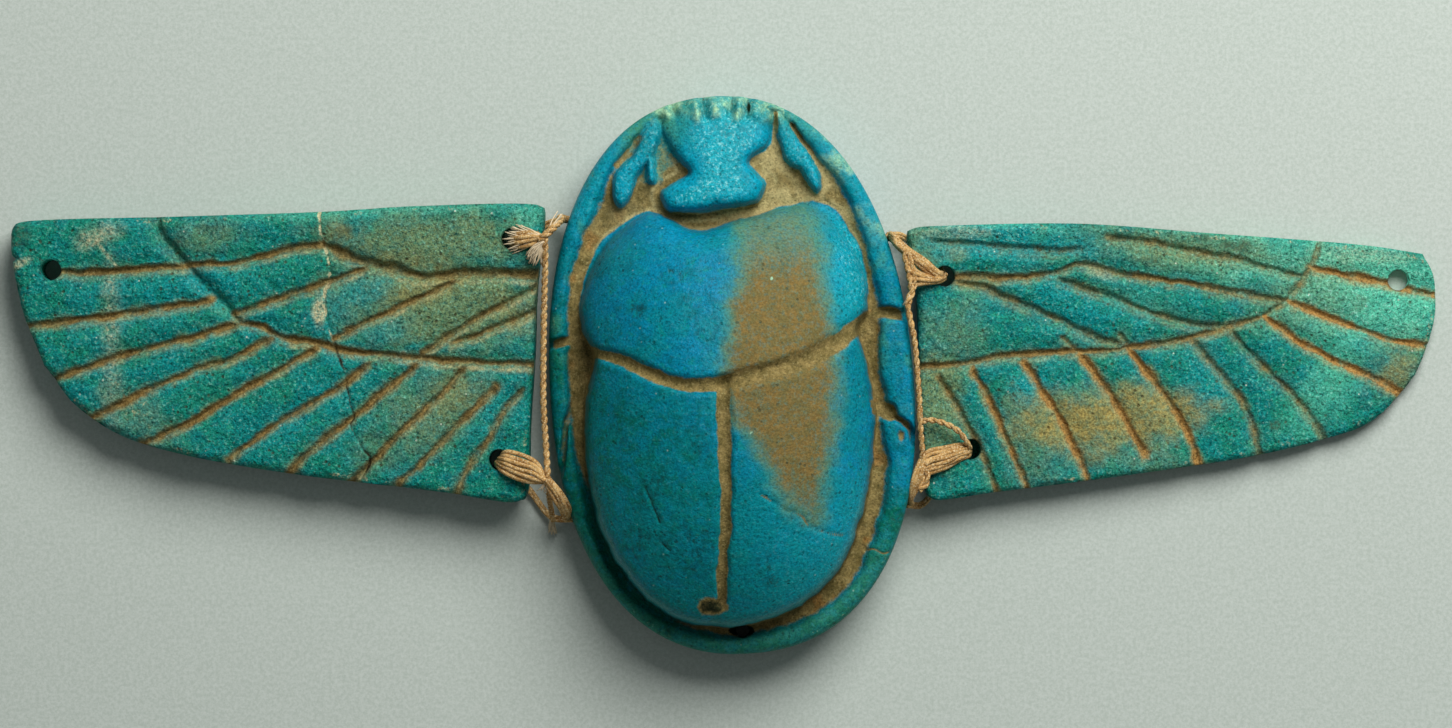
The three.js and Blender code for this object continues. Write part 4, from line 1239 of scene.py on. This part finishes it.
def tuft(root, tips, count, seed, sag=0.4):
    """Fine loose fibres that fan out from one point to a row of tips."""
    root, tips = np.array(root, float), smooth_line(tips, step=0.05)
    tubes = []
    for k in range(count):
        noise = ripple(np.arange(6) * 1.9 + k * 3.3, np.arange(6) * 0.7, 1.0, seed)
        tip = tips[int((k + 0.5) / count * (len(tips) - 1))] + noise[:3] * 0.35
        middle = (root + tip) / 2 + noise[3:] * 0.3 + np.array([0, 0, sag * 0.5])
        tubes.append(sweep([root + noise[2:5] * 0.2, middle, tip], (FIBRE, FIBRE * 0.5), 5, pale=0.8))
    return tubes


# Each part of a thread: what makes it, then its points and sizes.
LEFT_THREAD = [
    # the upper tie: through the wing's hole, over its edge, and down into the beetle's side
    (
        between,
        [(-24.6, 14.5, 1), (-24.6, 14.4, 6), (-23.9, 14.2, 7.3), (-22.3, 14.6, 7.8), (-20.9, 15.2, 7.9)],
        [(-24.6, 15.4, 1), (-24.6, 15.4, 6), (-23.9, 15.7, 7.3), (-22.3, 15.7, 7.8), (-20.9, 15.2, 7.9)], 4,
        STRAND, 0.12, 3,
    ),
    (
        twisted,
        [(-21.6, 14.9, 8), (-20.7, 15.6, 8.2), (-19.7, 16.6, 7.7), (-19.2, 17.2, 6.2), (-19.3, 17.4, 4.2),
         (-18.9, 17.35, 2.8), (-17.4, 17, 2.5)],
        0.42, 3, 2.2,
    ),
    (tuft, (-21.2, 15.2, 8), [(-23.6, 16.6, 7.2), (-25, 16, 7), (-25.3, 14.6, 7), (-24.4, 13.4, 7)], 26, 5),
    (tuft, (-21.1, 14.9, 8.1), [(-23, 13.5, 7.3), (-22.6, 12.5, 7.3), (-21.4, 12.3, 7.3)], 34, 9),
    (tuft, (-20.6, 15.5, 8), [(-19.4, 17.9, 7.4), (-18.9, 17.6, 7.5)], 5, 15),
    # the stay between the two ties
    (
        twisted,
        [(-20.9, 15.1, 8.1), (-20.9, 12.5, 7.6), (-21, 9, 7.2), (-21.1, 3, 7.2), (-21.1, -3, 7.2),
         (-20.8, -8, 7.4), (-20.6, -11.2, 8)],
        0.36, 2, 1.9,
    ),
    # the lower tie
    (
        between,
        [(-26.2, -9.6, 1), (-26.3, -9.7, 5.4), (-25.5, -10.4, 7.2), (-24, -11.2, 7.6), (-22.3, -11.6, 7.8),
         (-20.8, -11.6, 7.9)],
        [(-25.6, -8.9, 1), (-25.7, -8.8, 5.4), (-25.1, -8.4, 7.2), (-23.5, -8.7, 7.7), (-21.8, -9.5, 7.9),
         (-20.8, -11.6, 7.9)],
        6, STRAND, 0.08, 21,
    ),
    (
        between,
        [(-20.9, -11.3, 8.1), (-20, -13.2, 7.8), (-19.3, -14.6, 6.9), (-18.7, -15.6, 5.2),
         (-18.6, -15.9, 3.4), (-17, -15.4, 2.4)],
        [(-20.4, -11.2, 8.1), (-19.3, -12.7, 7.9), (-18.6, -13.9, 7.1), (-18.2, -15, 5.4),
         (-18.3, -15.6, 3.2), (-17, -15.4, 2.4)],
        4, STRAND * 0.95, 0.12, 31,
    ),
    (tuft, (-20.8, -11.5, 8), [(-21.6, -12.6, 7.4), (-20.2, -12.9, 7.4)], 8, 35),
    # the loose end
    (
        twisted, [(-20.7, -11.7, 7.8), (-20.5, -13.4, 6.2), (-20.3, -15, 3.6), (-20.2, -16, 1.8)], 0.3, 3,
        1.6,
    ),
    (
        tuft, (-20.25, -15.2, 2.6), [(-20.8, -17.2, 0.5), (-20.2, -17.5, 0.5), (-19.7, -17.1, 0.5)], 12, 41,
        0,
    ),
    # the parts under the wing
    (
        hidden,
        [(-24.6, 14.5, 1.2), (-24, 15.3, 0.55), (-22.2, 15.8, 0.6), (-20.3, 16.8, 1.2), (-18.4, 17.2, 2.3)],
        [(-24.6, 15.4, 1.2), (-24, 15.7, 0.55), (-22.2, 16.3, 0.6), (-20.3, 17.2, 1.2), (-18.4, 17.4, 2.3)],
    ),
    (
        hidden,
        [(-26.2, -9.6, 1.2), (-25.2, -10.4, 0.55), (-22.8, -12.9, 0.6), (-20.3, -15.8, 1.1), (-18, -16, 2.3)],
        [(-25.6, -8.9, 1.2), (-25, -10, 0.55), (-22.8, -12.4, 0.6), (-20.3, -15.4, 1.1), (-18, -15.7, 2.3)],
    ),
]
RIGHT_THREAD = [
    # the upper tie: a loose fan of strands from the beetle's side to the wing's hole
    (
        between,
        [(15.6, 15.2, 2.5), (16.9, 15.1, 3.2), (17.3, 14.8, 6), (17.9, 14.1, 7.3), (19.2, 12.9, 7),
         (20.9, 11.6, 6), (22.2, 10.9, 5.5), (22.7, 10.9, 3.8)],
        [(15.6, 15.4, 2.5), (16.9, 15.6, 3.2), (17.1, 15.6, 6), (17.7, 15.1, 7.3), (19.1, 14, 7),
         (20.9, 12.7, 6), (22.3, 11.5, 5.6), (22.9, 11.3, 3.8)],
        4, STRAND, 0.1, 51,
    ),
    (
        between,
        [(18.9, 9.6, 7.3), (19.9, 10.1, 6.9), (21.2, 10.2, 6), (22.4, 10.4, 5.5), (23.1, 10.7, 3.8)],
        [(19, 12.6, 7.4), (19.8, 11.6, 7), (21, 11.1, 6.1), (22.3, 10.9, 5.6), (23, 11, 3.8)], 4,
        STRAND * 0.95, 0.1, 55,
    ),
    # the stay, doubled at its top
    (
        twisted,
        [(18.4, 13.9, 7.5), (18.8, 12.2, 7.5), (19.2, 10.2, 7.5), (19.3, 9.2, 7.4), (18.9, 8.3, 7.5),
         (19.2, 6.2, 7.5), (19.6, 4.2, 7.5), (20, 0, 7.4), (20.2, -3, 7.3), (20.3, -5.5, 7.1),
         (20.5, -8, 6.7), (20.6, -9.8, 6.5), (21.05, -10.7, 6.4), (20.95, -11.9, 6.3), (20.2, -12.6, 6.3)],
        0.33, 2, 2.1,
    ),
    (
        twisted, [(18.9, 13.6, 7.6), (19.5, 11.8, 7.5), (19.7, 10.3, 7.3), (19.4, 9, 7.4), (19, 7.9, 7.5)],
        0.28, 2, 1.9,
    ),
    (tuft, (19.1, 9, 7.5), [(18.5, 8, 7.4), (18.9, 7.2, 7.4)], 4, 58),
    # the loose loop into the lower hole
    (
        twisted,
        [(20.2, -3.6, 7.2), (20.4, -4.9, 7.1), (21.3, -4.85, 6.7), (22.5, -5.05, 6.4), (23.7, -5.55, 6.3),
         (24.7, -6.25, 6.1), (25.3, -7.1, 5.8), (25.7, -7.8, 4.8), (25.8, -8, 3.4)],
        0.33, 2, 2, 1,
    ),
    # the lower tie
    (
        between,
        [(25.9, -8.5, 1), (25.8, -8.6, 3), (25.5, -8.8, 4.5), (24.8, -9.2, 5.1), (23.3, -10, 5.5),
         (21.8, -10.5, 5.8), (20.9, -10.7, 6.2)],
        [(25.8, -7.8, 1), (25.7, -7.8, 3), (25.4, -7.7, 4.6), (24.6, -7.6, 5.2), (23, -7.9, 5.6),
         (21.4, -8.3, 6), (20.5, -8.9, 6.4)],
        7, STRAND * 0.9, 0.12, 61,
    ),
    (
        between,
        [(20.9, -10.5, 6.3), (20.4, -11.7, 6.3), (19.8, -12.8, 6), (19.4, -13.7, 5.2), (19.4, -14.1, 3.4),
         (18, -13.9, 2.4)],
        [(20.5, -8.8, 6.4), (19.9, -10.3, 6.7), (19.3, -11.9, 6.5), (19.1, -13.4, 5.5), (19.3, -14, 3.4),
         (18, -13.9, 2.4)],
        6, STRAND * 0.9, 0.1, 71,
    ),
    # the parts under the wing
    (
        hidden,
        [(23, 11, 4), (22.9, 11.1, 0.8), (21.6, 12.7, 0.6), (20.4, 13.6, 0.6), (18.5, 15.2, 1.1),
         (16.8, 15.5, 2.3)],
        [(23.2, 11.2, 4), (23.2, 11.3, 0.8), (21.8, 13, 0.6), (20.4, 14, 0.6), (18.5, 15.6, 1.1),
         (16.8, 15.7, 2.3)],
    ),
    (
        hidden,
        [(25.9, -8.2, 1.2), (24.6, -9.6, 0.55), (22.6, -12, 0.6), (20.7, -14.4, 1.1), (18.9, -14.4, 2.3)],
        [(25.6, -8.6, 1.2), (24.2, -9.4, 0.55), (22.6, -11.6, 0.6), (20.7, -14, 1.1), (18.9, -14.1, 2.3)],
    ),
]


def make_thread(name, node, parts):
    vertices, faces, paleness, start = [], [], [], 0
    for points, quads, pale in (tube for make, *sizes in parts for tube in make(*sizes)):
        points[:, 2] = np.maximum(points[:, 2], THREAD_FLOOR)
        vertices.append(points)
        faces += [[corner + start for corner in face] for face in quads]
        paleness += [pale] * len(points)
        start += len(points)
    piece = new_object(name, np.vstack(vertices), faces, linen_thread)
    paint(piece, {"pale": np.array(paleness)})
    settle(piece, node)


# ---------------------------------------------------------------- the camera, the light and the ground

VIEW = {"x": -1.05, "y": 1.32, "z": 6, "width": 159.72, "distance": 800, "sensor": 36, "clip_end": 10}
KEY_LIGHT = {"place": (0.15, 0.32, 0.36), "size": 0.38, "power": 3.25, "colour": (1.0, 0.99, 0.97)}
SKY = {"Color": (0.95, 0.98, 1.0, 1), "Strength": 0.15}
GROUND = {"half": 1500, "z": -0.05}


def add_to_scene(name, data, place):
    stand = bpy.data.objects.new(name, data)
    stand.location = place
    bpy.context.scene.collection.objects.link(stand)
    return stand


def make_camera():
    camera = bpy.data.cameras.new("camera")
    camera.sensor_width = VIEW["sensor"]
    camera.lens = VIEW["sensor"] * VIEW["distance"] / VIEW["width"]
    camera.clip_end = VIEW["clip_end"]
    place = Vector((VIEW["x"], VIEW["y"], VIEW["z"] + VIEW["distance"])) * MM
    bpy.context.scene.camera = add_to_scene("camera", camera, place)


def make_light():
    light = bpy.data.lights.new("key", "AREA")
    light.shape = "DISK"
    light.size = KEY_LIGHT["size"]
    light.energy = KEY_LIGHT["power"]
    light.color = KEY_LIGHT["colour"]
    stand = add_to_scene("key", light, KEY_LIGHT["place"])
    stand.rotation_euler = Vector(KEY_LIGHT["place"]).to_track_quat("Z", "Y").to_euler()


def make_ground():
    """A sheet of pale grey paper."""
    n = Nodes("paper")
    colour = n.mix(n.ramp(n.noise(0.4, 3.0, 0.8), 0.3, 0.7), tone(182, 193, 184), tone(200, 209, 202))
    half, z = GROUND["half"], GROUND["z"]
    corners = [(-half, -half, z), (half, -half, z), (half, half, z), (-half, half, z)]
    new_object("ground", corners, [[0, 1, 2, 3]], n.finished(colour, 0.95, 0.1))


def make_world():
    world = bpy.data.worlds.new("world")
    world.use_nodes = True
    for key, value in SKY.items():
        world.node_tree.nodes["Background"].inputs[key].default_value = value
    bpy.context.scene.world = world


make_camera()
make_world()
make_light()
make_ground()
bpy.context.scene.view_settings.view_transform = "Standard"

make_scarab()
make_wing("left_wing_glaze", "left_wing", LEFT_WING)
make_wing("right_wing_glaze", "right_wing", RIGHT_WING)
make_thread("left_linen", "left_thread", LEFT_THREAD)
make_thread("right_linen", "right_thread", RIGHT_THREAD)
